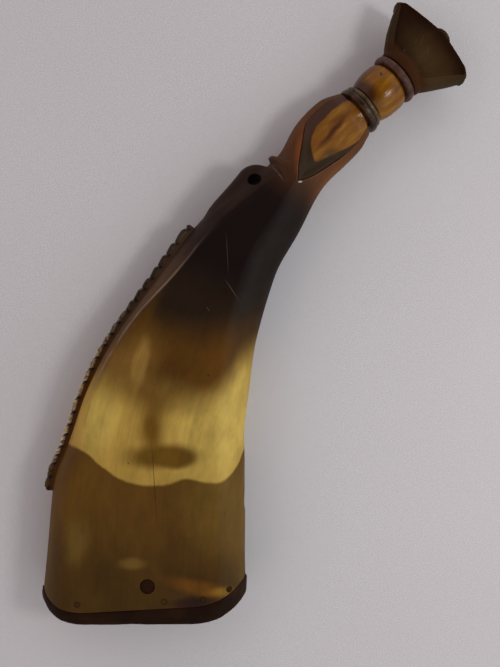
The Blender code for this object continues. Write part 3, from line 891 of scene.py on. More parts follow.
def ridge_ring(distance):
    """A section of the strip: a root that hugs the horn's edge, and a rounded, notched outer side."""
    place, _, sideways = horn_frame(distance)
    edge = horn_at(distance)[2] / 2
    index = (distance - RIDGE_FROM) / (RIDGE_TO - RIDGE_FROM) * RIDGE_TEETH
    tall = RIDGE_WIDE - 0.35 + 0.3 * noise.noise((index * 0.8, 3.3, 0.7))
    from_end = min(distance - RIDGE_FROM, RIDGE_TO - distance) / RIDGE_END_EASE
    tall -= 0.9 * (1 - min(max(from_end, 0), 1)) ** 2
    front = [(RIDGE_ROOT, RIDGE_HALF * RIDGE_SHOULDER * i / 3) for i in range(4)]
    for i in range(9):
        turn = math.pi / 2 * (i / 8)
        swell = RIDGE_SHOULDER + (1 - RIDGE_SHOULDER) * math.sin(turn)
        up = RIDGE_HALF * (swell if i < 5 else math.cos((i - 4) / 4 * math.pi / 2))
        out = RIDGE_ROOT + (tall - RIDGE_ROOT) * (0.3 + 0.7 * math.sin(turn))
        front.append((out, up))
    ring, notches = [], []
    for out, up in mirrored(front):
        notch = tooth_line(distance, out, up)
        deep = TOOTH_DEEP * notch * smooth(out, RIDGE_ROOT + 0.4, tall * 0.75)
        ring.append(place - sideways * (edge + out - deep) + Vector((0, 0, up)))
        notches.append((notch, (out - RIDGE_ROOT) / (tall - RIDGE_ROOT), 0))
    return ring, notches


def make_ridge(material):
    rings = [ridge_ring(d) for d in steps_between(RIDGE_FROM, RIDGE_TO, RIDGE_STEP)]
    strip = loft("notched_strip", [ring for ring, _ in rings])
    store(strip, "notch", np.array([notch for _, ring in rings for notch in ring]))
    grain_along_horn(strip)
    finished(strip, material, "flask", "dark_horn", "notched_ridge", sharp=50)


# ---- the neck pieces ----


def eased(corners, radius=0.5, steps=4):
    """A profile with each corner rounded off by an arc-like curve."""
    found = []
    for i, corner in enumerate(corners):
        point = Vector(corner)
        if i in (0, len(corners) - 1):
            found.append(tuple(point))
            continue
        before, after = Vector(corners[i - 1]), Vector(corners[i + 1])
        reach_in = min(radius, (before - point).length * 0.45)
        reach_out = min(radius, (after - point).length * 0.45)
        start = point + (before - point).normalized() * reach_in
        end = point + (after - point).normalized() * reach_out
        for k in range(steps + 1):
            t = k / steps
            found.append(tuple(start.lerp(point, t).lerp(point.lerp(end, t), t)))
    return found


def make_cheek(side):
    """The cheek in the front (side 1) or back (-1) window. It drops away inside the window's rim, to a
    crowned panel that lies well below the neck's surface."""
    distances = steps_between(HORN_LONG - CHEEK_LONG, HORN_LONG - GAP, CHEEK_STEP)
    rings = [in_space(front_half(d), d) for d in distances]
    outer = [point for ring in rings for point in ring if abs(point.z - MIDDLE_Z) >= LEAF_DEPTH]
    for point, away in zip(outer, rim_distances([tuple(point.to_2d()) for point in outer])):
        sunk = LEAF_SUNK + LEAF_DROP * float(smooth(away, 0.2, LEAF_WALL))
        room = abs(point.z - MIDDLE_Z) - LEAF_DEPTH
        point.z -= math.copysign(min(sunk, room * 0.5), point.z - MIDDLE_Z)
    cheek = loft(f"cheek_{side}", rings)
    low, high = sorted((MIDDLE_Z + side * LEAF_DEPTH, MIDDLE_Z + side * PAST))
    return cut(cheek, [prism(f"filling_{side}", leaf_outline(GAP), low, high)], "INTERSECT")


def make_spout(material):
    """The amber tube with its cheeks, which fill the leaf windows a little below the horn's surface."""
    outside = ((MOUTH_RADIUS, MOUTH_HEIGHT), *BARREL, (SEAT_RADIUS, 4.4), (SEAT_RADIUS, -2.2))
    tenon = ((TENON_RADIUS, TENON_TOP), (TENON_RADIUS, TENON_FOOT + 1), (TENON_RADIUS - 1, TENON_FOOT))
    bore = ((BORE_RADIUS, TENON_FOOT), (BORE_RADIUS, MOUTH_HEIGHT))
    spout = turned("amber_spout", [*eased(outside, 1.0, 3), *tenon, *bore], wobble=0.18)
    cut(spout, [make_cheek(side) for side in (1, -1)], "UNION")
    grain_along_neck(spout)
    finished(spout, material, "flask", "amber_horn", "spout", sharp=38)


def make_rings(materials):
    """The three rings, each with eased edges and an outer side that swells a little."""
    for i, (name, seat, outer, low, high, ease, material, slot, node) in enumerate(RINGS):
        edge = ((seat + GAP, 0), (outer - ease, 0), (outer - ease * 0.3, ease * 0.3))
        upper = [(radius, high - drop) for radius, drop in edge]
        lower = [(radius, low + drop) for radius, drop in reversed(edge)]
        profile = eased([*upper, (outer, (high + low) / 2), *lower], 0.45)
        ring = turned(name, profile, wobble=0.3, seed=i * 2.3)
        grain_along_neck(ring)
        finished(ring, materials[material], "flask", slot, node, sharp=45)


# ---- the stopper ----


def fan_at(height):
    """The fan's row at a height, on straight lines between the rows that are given."""
    rows = [row[0] for row in FAN]
    return [float(np.interp(height, rows, [row[k] for row in FAN])) for k in range(5)]


def fan_ring(height, half_thick, chamfer, reach_convex, reach_concave, crown=0.0):
    """A section of the fan: flat front and back, with a chamfer down to each side edge."""
    left, right = -reach_concave, reach_convex
    edge_half = max(half_thick - chamfer, FAN_EDGE_LEAST)
    front = [(left - FAN_EDGE_ROUND, 0), (left, edge_half)]
    for i in range(FAN_COLUMNS + 1):
        across = left + chamfer + (right - left - 2 * chamfer) * i / FAN_COLUMNS
        dish = FAN_DISH * math.sin(math.pi * i / FAN_COLUMNS) * smooth(height, *FAN_DISH_STARTS)
        front.append((across, half_thick - dish))
    front += [(right, edge_half), (right + FAN_EDGE_ROUND, 0)]
    reach = max(-left, right)
    return [
        neck_point(height + crown * (1 - (abs(across) / reach) ** FAN_BOW), across, up)
        for across, up in mirrored(front)
    ]


def make_fan():
    """The fan, whose rim is eased and bows out in its middle."""
    height, half, chamfer, convex, concave = FAN[-1]
    rings = [fan_ring(*fan_at(h)) for h in steps_between(FAN[0][0], height - FAN_CORNER, FAN_STEP)]
    for turn in FAN_CORNER_TURNS:
        rise = math.sin(math.radians(turn))
        drawn = FAN_CORNER * (1 - math.cos(math.radians(turn)))
        thin = FAN_EASE * max(turn - 70, 0) / 20
        at = height - FAN_CORNER * (1 - rise)
        rings.append(fan_ring(at, half - thin, chamfer, convex - drawn, concave - drawn, FAN_APEX * rise))
    return soften(loft("fan", rings), 0.35, 24)


def make_stopper(wood):
    """The fan-shaped head on its round foot, and the dowel that runs through it into the spout."""
    top = FAN[-1][0] + FAN_APEX + DOWEL_PROUD
    head = turned("fan_head", eased(FOOT, 0.8), wobble=0.15, seed=7)
    cut(head, [make_fan()], "UNION")
    cut(head, [round_bar("dowel_hole", DOWEL_RADIUS + GAP, neck_point(PAST), neck_point(top + 3))])
    grain_along_neck(head)
    finished(head, wood, "stopper", "fan_wood", "stopper_head", sharp=28)
    ends = (
        (0, top),
        (DOWEL_RADIUS - 1.6, top - 0.1),
        (DOWEL_RADIUS, top - 1.2),
        (DOWEL_RADIUS, DOWEL_FOOT + 1),
        (DOWEL_RADIUS - 1, DOWEL_FOOT),
        (0, DOWEL_FOOT),
    )
    dowel = turned("through_dowel", eased(ends, 0.7), DOWEL_SIDES, wobble=0.12, seed=4)
    grain_along_neck(dowel)
    finished(dowel, wood, "stopper", "fan_wood", "stopper_dowel")


# ---- materials ----


class Nodes:
    """The nodes of a material or of the world. Each method adds nodes and gives what they put out."""

    def __init__(self, tree):
        self.tree = tree

    def add(self, kind, **settings):
        node = self.tree.nodes.new(kind)
        for name, value in settings.items():
            setattr(node, name, value)
        return node

    def feed(self, socket, value):
        if isinstance(value, bpy.types.NodeSocket):
            self.tree.links.new(value, socket)
        else:
            socket.default_value = value

    def filled(self, kind, values, output=0, **settings):
        """What a node gives once its inputs are filled in order."""
        node = self.add(kind, **settings)
        for socket, value in zip(node.inputs, values):
            self.feed(socket, value)
        return node.outputs[output]

    def math(self, operation, *values):
        return self.filled("ShaderNodeMath", values, operation=operation)

    def vector(self, operation, *values, output=0):
        return self.filled("ShaderNodeVectorMath", values, output, operation=operation)

    def split(self, vector):
        node = self.add("ShaderNodeSeparateXYZ")
        self.feed(node.inputs[0], vector)
        return node.outputs

    def product(self, first, *others):
        for other in others:
            first = self.math("MULTIPLY", first, other)
        return first

    def between(self, value, low, high):
        """A value from 0 to 1, spread from low to high."""
        return self.math("MULTIPLY_ADD", value, high - low, low)

    def step(self, value, low, high):
        """0 at low and 1 at high, with an easy curve between. Low may be the larger of the two."""
        node = self.add("ShaderNodeMapRange", interpolation_type="SMOOTHSTEP")
        self.feed(node.inputs["Value"], value)
        node.inputs["From Min"].default_value = low
        node.inputs["From Max"].default_value = high
        return node.outputs["Result"]

    def mix(self, share, one, two, blend="MIX"):
        node = self.add("ShaderNodeMix", data_type="RGBA", blend_type=blend)
        self.feed(node.inputs["Factor"], share)
        for socket, colour in zip((node.inputs[6], node.inputs[7]), (one, two)):
            self.feed(socket, colour if isinstance(colour, bpy.types.NodeSocket) else (*colour, 1))
        return node.outputs[2]


class Paint(Nodes):
    """A material and the nodes that paint it."""

    def __init__(self, name, specular=0.5):
        self.material = bpy.data.materials.new(name)
        self.material.use_nodes = True
        super().__init__(self.material.node_tree)
        self.shader = self.tree.nodes["Principled BSDF"]
        self.shader.inputs["Specular IOR Level"].default_value = specular

    def place(self):
        """The place on the object, in mm, flattened to X and Y."""
        coords = self.add("ShaderNodeTexCoord").outputs["Object"]
        return self.vector("MULTIPLY", coords, (1 / MM, 1 / MM, 0))

    def stored(self, name):
        """The three numbers that were kept at each point of the mesh."""
        return self.add("ShaderNodeAttribute", attribute_name=name).outputs["Vector"]

    def chart(self, x, y):
        return self.filled("ShaderNodeCombineXYZ", (x, y))

    def grey(self, value):
        return self.filled("ShaderNodeCombineColor", (value, value, value))

    def noise(self, vector, scale, detail=3.0, roughness=0.5, stretch=(1, 1, 1), colour=False):
        """Noise with one blotch to about each 1 / scale mm, drawn out by stretch."""
        node = self.add("ShaderNodeTexNoise")
        scaled = self.vector("MULTIPLY", vector, tuple(scale / s for s in stretch))
        self.feed(node.inputs["Vector"], scaled)
        node.inputs["Scale"].default_value = 1
        node.inputs["Detail"].default_value = detail
        node.inputs["Roughness"].default_value = roughness
        return node.outputs["Color" if colour else "Fac"]

    def warped(self, vector, size, reach):
        """The vector strayed by up to about reach mm, by noise of that size."""
        stray = self.vector("SUBTRACT", self.noise(vector, 1 / size, colour=True), (0.5, 0.5, 0.5))
        return self.vector("ADD", vector, self.vector("MULTIPLY", stray, (2 * reach, 2 * reach, 0)))

    def ramp(self, value, *stops):
        """A colour that follows a value through (value, colour) stops."""
        node = self.add("ShaderNodeValToRGB")
        node.color_ramp.interpolation = "EASE"
        elements = node.color_ramp.elements
        while len(elements) < len(stops):
            elements.new(1)
        for element, (at, _) in zip(elements, stops):
            element.position = at
        for element, (_, colour) in zip(elements, stops):
            element.color = (*colour, 1)
        self.feed(node.inputs[0], value)
        return node.outputs[0]

    def spot(self, vector, centre, radii, turn=0.0, soft=0.4):
        """1 in the middle of an ellipse, turned by degrees, and 0 past its soft rim."""
        node = self.add("ShaderNodeMapping", vector_type="TEXTURE")
        self.feed(node.inputs["Vector"], vector)
        node.inputs["Location"].default_value = (*centre, 0)
        node.inputs["Rotation"].default_value = (0, 0, math.radians(turn))
        node.inputs["Scale"].default_value = (*radii, 1000)
        away = self.vector("LENGTH", node.outputs[0], output="Value")
        return self.step(away, 1 + soft, 1 - soft)

    def polygon(self, vector, corners, soft):
        """1 inside a convex outline given clockwise, and 0 outside it."""
        inside = None
        for start, end in zip(corners, corners[1:] + corners[:1]):
            run = (Vector(end) - Vector(start)).normalized()
            inward = Vector((run.y, -run.x))
            away = self.vector("DOT_PRODUCT", vector, (*inward, 0), output="Value")
            away = self.math("SUBTRACT", away, inward.dot(Vector(start)))
            inside = away if inside is None else self.math("SMOOTH_MIN", inside, away, CORNER_ROUND)
        return self.step(inside, -soft, soft)

    def scratch(self, vector, start, end, width):
        """A thin line between two places, which tapers to its ends."""
        run = Vector(end) - Vector(start)
        middle = tuple((Vector(start) + Vector(end)) / 2)
        turn = math.degrees(math.atan2(run.y, run.x))
        return self.spot(vector, middle, (run.length / 2, width), turn, 0.5)

    def above(self, vector, points, soft):
        """1 past a boundary, given as Y at places in X, and 0 before it. Soft is half its width in mm."""
        low, high = FACE_LOW, FACE_HIGH
        span = (high[0] - low[0], high[1] - low[1])
        node = self.add("ShaderNodeFloatCurve")
        line = node.mapping.curves[0].points
        spots = [((x - low[0]) / span[0], (y - low[1]) / span[1]) for x, y in points]
        line[0].location, line[1].location = spots[0], spots[-1]
        for x, y in spots[1:-1]:
            line.new(x, y)
        node.mapping.update()
        x, y, _ = self.split(vector)
        self.feed(node.inputs["Value"], self.math("MULTIPLY_ADD", x, 1 / span[0], -low[0] / span[0]))
        boundary = self.math("MULTIPLY_ADD", node.outputs[0], span[1], low[1])
        return self.step(self.math("SUBTRACT", y, boundary), -soft, soft)

    def over(self, colour, share, coat, strength=1):
        """The colour with a coat laid over it where share is 1."""
        return self.mix(share if strength == 1 else self.product(share, strength), colour, coat)

    def patches(self, colour, charts, rows):
        """The colour with soft elliptical patches over it, as a table gives them."""
        for chart, centre, radii, turn, soft, strength, coat in rows:
            colour = self.over(colour, self.spot(charts[chart], centre, radii, turn, soft), coat, strength)
        return colour

    def marks(self, colour, vector, rows):
        """The colour with thin lines over it, as a table gives them."""
        for start, end, width, strength, coat in rows:
            colour = self.over(colour, self.scratch(vector, start, end, width), coat, strength)
        return colour

    def sharp_edges(self, low, high):
        """1 on edges sharper than high and 0 on what is blunter than low, where 0.5 is flat."""
        return self.step(self.add("ShaderNodeNewGeometry").outputs["Pointiness"], low, high)

    def bump(self, height, depth, normal=None):
        """Relief of that depth, in mm, where the height goes from 0 to 1."""
        node = self.add("ShaderNodeBump")
        node.inputs["Strength"].default_value = 1
        node.inputs["Distance"].default_value = depth * MM
        self.feed(node.inputs["Height"], height)
        if normal is not None:
            self.feed(node.inputs["Normal"], normal)
        return node.outputs[0]

    def coat(self, colour, roughness, normal):
        """The finished material."""
        for name, value in (("Base Color", colour), ("Roughness", roughness), ("Normal", normal)):
            self.feed(self.shader.inputs[name], value)
        return self.material


# How far, in mm, the corners of a painted outline are rounded.
CORNER_ROUND = 3.0

# The span, in mm, in which the boundaries on the horn's face are drawn.
FACE_LOW = (-110.0, -160.0)
FACE_HIGH = (60.0, 120.0)

# Boundaries across the horn's face, each through (X, Y) in mm: where the olive wide end turns yellow,
# where the yellow turns amber, and where the amber turns nearly black.
OLIVE_TO_YELLOW = (
    ((-110, -60), (-84, -63.5), (-76.3, -65.3), (-69.5, -71.2), (-56, -79.3), (-42.5, -80.6))
    + ((-31.3, -77.9), (-13.3, -78.4), (-8.3, -73.4), (-5.2, -66.7), (2, -55), (60, -40))
)
YELLOW_TO_AMBER = (
    ((-110, -26), (-77, -30), (-65, -35), (-55, -43), (-45, -48.5))
    + ((-33, -43.5), (-22, -41.5), (-13, -35), (-6, -24), (60, -5))
)
AMBER_TO_DARK = (
    ((-110, -8), (-66, -3), (-58, -3), (-50, -3), (-42, -7))
    + ((-30, -12), (-18, -13), (-6, -9), (60, 20))
)

OLIVE = (0.104, 0.047, 0.0055)
OLIVE_DEEP = (0.060, 0.028, 0.0035)
OLIVE_WARM = (0.135, 0.073, 0.011)
OLIVE_GREEN = (0.125, 0.070, 0.012)
RUST = (0.135, 0.052, 0.005)
RUST_BRIGHT = (0.25, 0.125, 0.013)
STAIN = (0.026, 0.010, 0.006)
YELLOW = (0.385, 0.242, 0.047)
YELLOW_BRIGHT = (0.52, 0.36, 0.08)
YELLOW_DULL = (0.13, 0.064, 0.005)
YELLOW_SHADE = (0.122, 0.060, 0.005)
AMBER = (0.092, 0.037, 0.0025)
AMBER_WARM = (0.19, 0.098, 0.018)
AMBER_LIGHT = (0.27, 0.155, 0.034)
AMBER_PALE = (0.20, 0.115, 0.022)
BROWN = (0.0175, 0.0082, 0.0026)
NEAR_BLACK = (0.0058, 0.0014, 0.0005)
NECK_BROWN = (0.098, 0.035, 0.0095)
NECK_WARM = (0.125, 0.045, 0.013)
NECK_ORANGE = (0.20, 0.050, 0.009)
SIDE_SHEEN_LOW = (0.095, 0.050, 0.026)
SIDE_SHEEN_HIGH = (0.026, 0.012, 0.008)
CONCAVE_SHEEN = (0.013, 0.0075, 0.0045)
CREASE_HIGHLIGHT = (0.25, 0.175, 0.115)
RIM_WEAR_AND_HIGHLIGHT = (0.16, 0.07, 0.04)
FLECK = (0.02, 0.01, 0.004)
SCRATCH = (0.13, 0.09, 0.075)
TIP_GLINT = (0.42, 0.35, 0.27)

# Patches on the horn, painted one over another. Each row has its chart, the centre and the radii in mm,
# the turn in degrees, how soft its rim is, its strength and its colour.
OLIVE_PATCHES = (
    ("loose", (-16, -89), (14, 20), 0, 0.8, 1, OLIVE_WARM),
    ("loose", (-80, -106), (5, 9), -8, 0.7, 1, OLIVE_GREEN),
    ("loose", (-55, -115), (5.5, 2.4), 0, 0.6, 1, OLIVE_GREEN),
    ("close", (-23, -127.0), (15, 3.0), -12, 0.6, 1, RUST),
    ("close", (-14.5, -128.6), (5.0, 1.7), -6, 0.7, 1, RUST_BRIGHT),
    ("close", (-27.6, -133.2), (9.5, 2.6), 4, 0.5, 1, STAIN),
)
YELLOW_PATCHES = (
    ("loose", (-17, -52), (17, 27), -10, 0.7, 1, YELLOW_BRIGHT),
    ("loose", (-41.6, -68), (15.5, 5.4), 3, 0.45, 1, YELLOW_DULL),
    ("close", (-34.5, -68.6), (7.5, 4.2), 8, 0.4, 1, YELLOW_SHADE),
    ("loose", (-46.5, -56), (5.0, 10), 0, 0.8, 1, YELLOW_DULL),
    ("loose", (-70, -52), (8, 12), -15, 0.7, 1, YELLOW_BRIGHT),
)
AMBER_PATCHES = (
    ("loose", (-62, -33), (11, 20), -30, 0.9, 1, AMBER_WARM),
    ("close", (-51.5, -26), (3.4, 11.5), -12, 0.45, 0.8, AMBER_LIGHT),
    ("loose", (-37, -38), (12, 5.5), -8, 0.8, 0.55, AMBER_PALE),
)
BROWN_PATCHES = (("loose", (-51, -3), (3.6, 13), -33, 0.8, 0.55, AMBER),)
NECK_PATCHES = (
    ("loose", (36, 60), (4.5, 11), -42, 0.8, 1, NECK_WARM),
    ("plain", (21.0, 72.5), (1.9, 9), -8, 0.7, 1, NECK_ORANGE),
)

# A hairline crack, dark flecks, scratches, and a painted glint, a small white highlight, at the tip of the
# window. Each row has where the line starts and ends and half its width, in mm, its strength and its
# colour.
HORN_MARKS = (
    ((-46.1, -64), (-43.9, -97), 0.16, 0.75, FLECK),
    ((-20.9, -30.9), (-20.5, -30.5), 0.7, 0.75, FLECK),
    ((-57, -70.5), (-56.6, -70.2), 0.5, 0.75, FLECK),
    ((-12.7, 11.6), (-7.6, 3.9), 0.16, 0.5, SCRATCH),
    ((-21.5, -0.2), (-20.2, -1.9), 0.16, 0.5, SCRATCH),
    ((-12.6, 31.9), (-11.8, 15.7), 0.1, 0.5, SCRATCH),
    ((8.2, 65.2), (12.9, 57.5), 0.4, 0.5, SCRATCH),
    ((19.9, 56.6), (21.6, 56.9), 0.36, 1, TIP_GLINT),
)


def horn_colour(paint, place, grain):
    """The horn's zones of colour from the wide end to the neck, with their patches and stains."""
    charts = {"loose": paint.warped(place, 30, 3.0), "close": paint.warped(place, 9, 1.1), "plain": place}
    across, _, along = paint.split(grain)
    colour = paint.mix(paint.step(along, 12, 45), OLIVE_DEEP, OLIVE)
    colour = paint.patches(colour, charts, OLIVE_PATCHES)
    sides = paint.step(paint.math("ABSOLUTE", across), 36, 47)
    colour = paint.over(colour, sides, OLIVE_GREEN, 0.45)
    yellow = paint.patches(YELLOW, charts, YELLOW_PATCHES)
    colour = paint.over(colour, paint.above(charts["close"], OLIVE_TO_YELLOW, 0.9), yellow)
    amber = paint.patches(AMBER, charts, AMBER_PATCHES)
    colour = paint.over(colour, paint.above(charts["loose"], YELLOW_TO_AMBER, 9), amber)
    colour = paint.over(colour, paint.above(charts["loose"], AMBER_TO_DARK, 12), BROWN)
    colour = paint.patches(colour, charts, BROWN_PATCHES)
    colour = paint.over(colour, paint.step(along, 138, 165), NEAR_BLACK)
    colour = paint.over(colour, paint.step(along, 198, 230), NECK_BROWN)
    return paint.patches(colour, charts, NECK_PATCHES)


def edge_wear(paint, grain, colour):
    """A painted sheen on the band outside the crease and on the concave side's facet, a thin painted
    highlight along the crease, and the window's rim painted lighter, partly wear and partly a painted
    highlight.
    """
    convex, concave, rim = paint.split(paint.stored("edges"))
    _, _, along = paint.split(grain)
    patchy = paint.noise(grain, 0.16, 4, 0.6, (1, 1, 3))
    crease = paint.between(paint.step(along, 120, 160), 4.0, 8.0)
    inset = paint.math("SUBTRACT", convex, crease)
    outside = paint.step(paint.math("MULTIPLY_ADD", patchy, 2, inset), 1.8, -0.6)
    facet_sheen = paint.product(outside, paint.step(along, 92, 118), paint.step(along, 213, 205))
    # The rounded facet outside the crease is painted paler and greyer: a painted sheen of the room's light.
    side = paint.mix(paint.step(along, 138, 168), SIDE_SHEEN_LOW, SIDE_SHEEN_HIGH)
    colour = paint.over(colour, facet_sheen, side, 0.8)
    # A thin painted highlight along the crease, where the rounded convex side meets the flat face.
    line = paint.product(
        paint.step(paint.math("ABSOLUTE", inset), 0.95, 0.15),
        paint.step(patchy, 0.34, 0.54),
        paint.step(along, 88, 98),
        paint.step(along, 178, 135),
    )
    colour = paint.over(colour, line, CREASE_HIGHLIGHT, 0.7)
    # The concave side's rounded facet is painted a little lighter: a painted sheen of the light from the
    # right.
    lengthwise = paint.product(paint.step(along, 120, 150), paint.step(along, 222, 190))
    colour = paint.over(colour, paint.product(paint.step(concave, 13, 9), lengthwise), CONCAVE_SHEEN, 0.5)
    # The window's rim is painted lighter: partly wear on the lip, partly a painted highlight where light
    # catches it.
    rim_wear_and_highlight = paint.product(paint.step(rim, 0.75, 0.25), paint.step(patchy, 0.35, 0.6))
    return paint.over(colour, rim_wear_and_highlight, RIM_WEAR_AND_HIGHLIGHT, 0.45)


def horn_skin():
    """The horn's skin, with fibres along it and a slow mottle."""
    paint = Paint("horn_skin", specular=0.12)
    place, grain = paint.place(), paint.stored("grain")
    colour = edge_wear(paint, grain, horn_colour(paint, place, grain))
    colour = paint.marks(colour, place, HORN_MARKS)
    fibres = paint.noise(grain, 1.1, 4, 0.6, (1, 1, 40))
    mottle = paint.noise(grain, 0.11, 5, 0.6, (1, 1, 2.0))
    shade = paint.math("ADD", paint.between(fibres, 0.84, 1.16), paint.between(mottle, -0.55, 0.55))
    colour = paint.mix(1, colour, paint.grey(shade), "MULTIPLY")
    roughness = paint.between(paint.noise(grain, 0.12, 3), 0.48, 0.66)
    fine = paint.bump(paint.noise(grain, 2.4, 3, 0.6, (1, 1, 25)), 0.02)
    relief = paint.bump(paint.noise(grain, 0.16, 2, 0.5, (1, 1, 3)), 0.12, fine)
    return paint.coat(colour, roughness, relief)


def ridge_horn():
    """The strip: dark brown, with painted shade darkening its notches, and pale worn teeth towards its
    lower end.
    """
    paint = Paint("ridge_horn", specular=0.2)
    grain = paint.stored("grain")
    _, _, along = paint.split(grain)
    notch, outward, _ = paint.split(paint.stored("notch"))
    blotches = paint.noise(grain, 0.5, 4, 0.6)
    fine = paint.noise(grain, 1.1, 3, 0.6)
    dark = paint.mix(fine, (0.014, 0.006, 0.003), (0.048, 0.024, 0.012))
    pale = paint.mix(paint.step(fine, 0.3, 0.7), (0.24, 0.14, 0.06), (0.84, 0.70, 0.47))
    amber = (0.09, 0.045, 0.014)
    notch_shade = (0.014, 0.006, 0.002)
    joint = paint.mix(paint.step(along, 95, 135), (0.095, 0.032, 0.005), (0.095, 0.052, 0.028))
    colour = paint.mix(paint.step(paint.math("MULTIPLY_ADD", blotches, 70, along), 175, 118), dark, pale)
    colour = paint.over(colour, paint.step(along, 64, 52), amber)
    # The notches are painted dark: painted shade in the cuts between the teeth.
    colour = paint.over(colour, paint.step(notch, 0.25, 0.55), notch_shade)
    colour = paint.over(colour, paint.step(outward, 0.68, 0.48), joint)
    relief = paint.bump(paint.noise(grain, 1.6, 4, 0.6), 0.08)
    return paint.coat(colour, paint.between(fine, 0.4, 0.6), relief)


SPOUT_DARK = (0.135, 0.042, 0.002)
SPOUT_AMBER = (0.20, 0.074, 0.004)
SPOUT_LIGHT = (0.28, 0.13, 0.011)
SPOUT_FIBRE = (0.10, 0.032, 0.003)
BORDER_OLIVE = (0.028, 0.0135, 0.003)
BORDER_PURPLE = (0.052, 0.021, 0.0115)
SPOUT_PURPLE = (0.035, 0.011, 0.007)

# The amber panel in the window, and the patches on the spout, on a chart of how far they are along the
# neck's axis and across to the convex side. The patches' columns are as on the horn.
PANEL = [(-33.5, -5.4), (-29, 2.6), (-22, 6.6), (-5, 6.9), (2, 4), (2, -13.6), (-18.6, -10.2)]
PANEL_STREAK = (("strayed", (-17.5, -0.5), (9, 1.3), 9, 0.8, 1, (0.062, 0.013, 0.001)),)
SPOUT_PATCHES = (
    ("strayed", (-24.5, -7.0), (3.4, 1.6), -20, 0.7, 0.7, (0.05, 0.028, 0.005)),
    ("strayed", (5.4, 3.5), (3.9, 8.0), 0, 0.6, 0.9, SPOUT_PURPLE),
)
SPOUT_NICK = (("plain", (15.6, 4.4), (1.1, 0.35), 60, 0.4, 1, FLECK),)


def amber_horn():
    """Streaky amber. It is purple brown at the waist, and towards the convex side, turned from the light,
    it is painted purple brown, partly its own tone and partly painted shade. It is dark olive and purple
    brown round the panel in the window."""
    paint = Paint("amber_horn", specular=0.2)
    grain = paint.stored("grain")
    across, _, along = paint.split(grain)
    streaks = paint.noise(grain, 0.3, 4, 0.5, (1, 1, 3.5))
    fine = paint.noise(grain, 1.4, 3, 0.6, (1, 1, 8))
    colour = paint.ramp(streaks, (0.3, SPOUT_DARK), (0.48, SPOUT_AMBER), (0.72, SPOUT_LIGHT))
    colour = paint.over(colour, paint.between(fine, 0, 0.22), SPOUT_FIBRE)
    plain = paint.chart(along, across)
    charts = {"plain": plain, "strayed": paint.warped(plain, 5, 0.7)}
    colour = paint.patches(colour, charts, PANEL_STREAK)
    past_window = paint.step(along, -2.5, -1.5)
    shown = paint.math("MAXIMUM", paint.polygon(charts["strayed"], PANEL, 0.45), past_window)
    border = paint.mix(paint.step(across, 1.5, 8), BORDER_OLIVE, BORDER_PURPLE)
    colour = paint.mix(shown, border, colour)
    colour = paint.patches(colour, charts, SPOUT_PATCHES)
    # Towards the convex side, turned from the light, the amber is painted purple brown: partly the horn's
    # own tone, partly painted shade.
    convex = paint.product(paint.step(across, 6.5, 11), past_window)
    colour = paint.over(colour, convex, SPOUT_PURPLE, 0.6)
    colour = paint.patches(colour, charts, SPOUT_NICK)
    shine = paint.between(paint.noise(grain, 0.5, 3), 0.12, 0.24)
    dull = paint.product(paint.step(along, -5, -9), 0.5)
    relief = paint.bump(paint.noise(grain, 0.7, 3, 0.5, (1, 1, 4)), 0.12)
    return paint.coat(colour, paint.math("ADD", shine, dull), relief)


def ring_horn(name, dark, light, rough):
    paint = Paint(name, specular=0.22)
    grain = paint.stored("grain")
    blotches = paint.noise(grain, 0.35, 4, 0.6, (1, 1, 2))
    fine = paint.noise(grain, 1.4, 3, 0.6)
    colour = paint.ramp(blotches, (0.35, dark), (0.65, light))
    colour = paint.over(colour, paint.between(fine, 0, 0.35), dark)
    relief = paint.bump(paint.noise(grain, 0.9, 4, 0.55), 0.1)
    return paint.coat(colour, paint.between(fine, rough, rough + 0.15), relief)


def wood(name, dark, light, rough, along_grain):
    """Close-grained wood with pores and faint bands along its grain."""
    paint = Paint(name, specular=0.08)
    grain = paint.stored("grain")
    bands = paint.noise(grain, 0.22, 3, 0.5, along_grain)
    fibres = paint.noise(grain, 1.8, 4, 0.65, along_grain)
    patches = paint.noise(grain, 0.06, 2)
    mixed = paint.math("ADD", paint.between(bands, -0.1, 0.7), paint.between(patches, -0.35, 0.55))
    colour = paint.ramp(mixed, (0.25, dark), (0.75, light))
    colour = paint.over(colour, paint.between(fibres, 0.0, 0.4), dark)
    # Sharp edges are painted lighter: partly wear, partly a painted highlight along them.
    wood_edge_wear_and_highlight = tuple(min(1, c * 2.4) for c in light)
    colour = paint.over(colour, paint.sharp_edges(0.53, 0.62), wood_edge_wear_and_highlight, 0.25)
    relief = paint.bump(paint.noise(grain, 0.3, 3), 0.15, paint.bump(fibres, 0.1))
    return paint.coat(colour, paint.between(fibres, rough, rough + 0.2), relief)


FAN_CHAMFER_SHEEN = (0.074, 0.047, 0.018)
FAN_FIBRE = (0.012, 0.005, 0.002)
FAN_EDGE_WEAR_AND_HIGHLIGHT = (0.11, 0.075, 0.045)
FAN_SCRATCH = (0.09, 0.06, 0.035)
FAN_MARKS = (
    ((44, 5.5), (39, 3), 0.2, 0.3, FAN_SCRATCH),
    ((42, 1), (38.5, -3.5), 0.2, 0.3, FAN_SCRATCH),
    ((40, 6), (37, 5), 0.2, 0.3, FAN_SCRATCH),
)
# How fast the fan's chamfer comes forward as it goes up, and how far forward its face is from there.
BEVEL_SLOPE = 0.132
BEVEL_TOP = (12.4, 11.7)


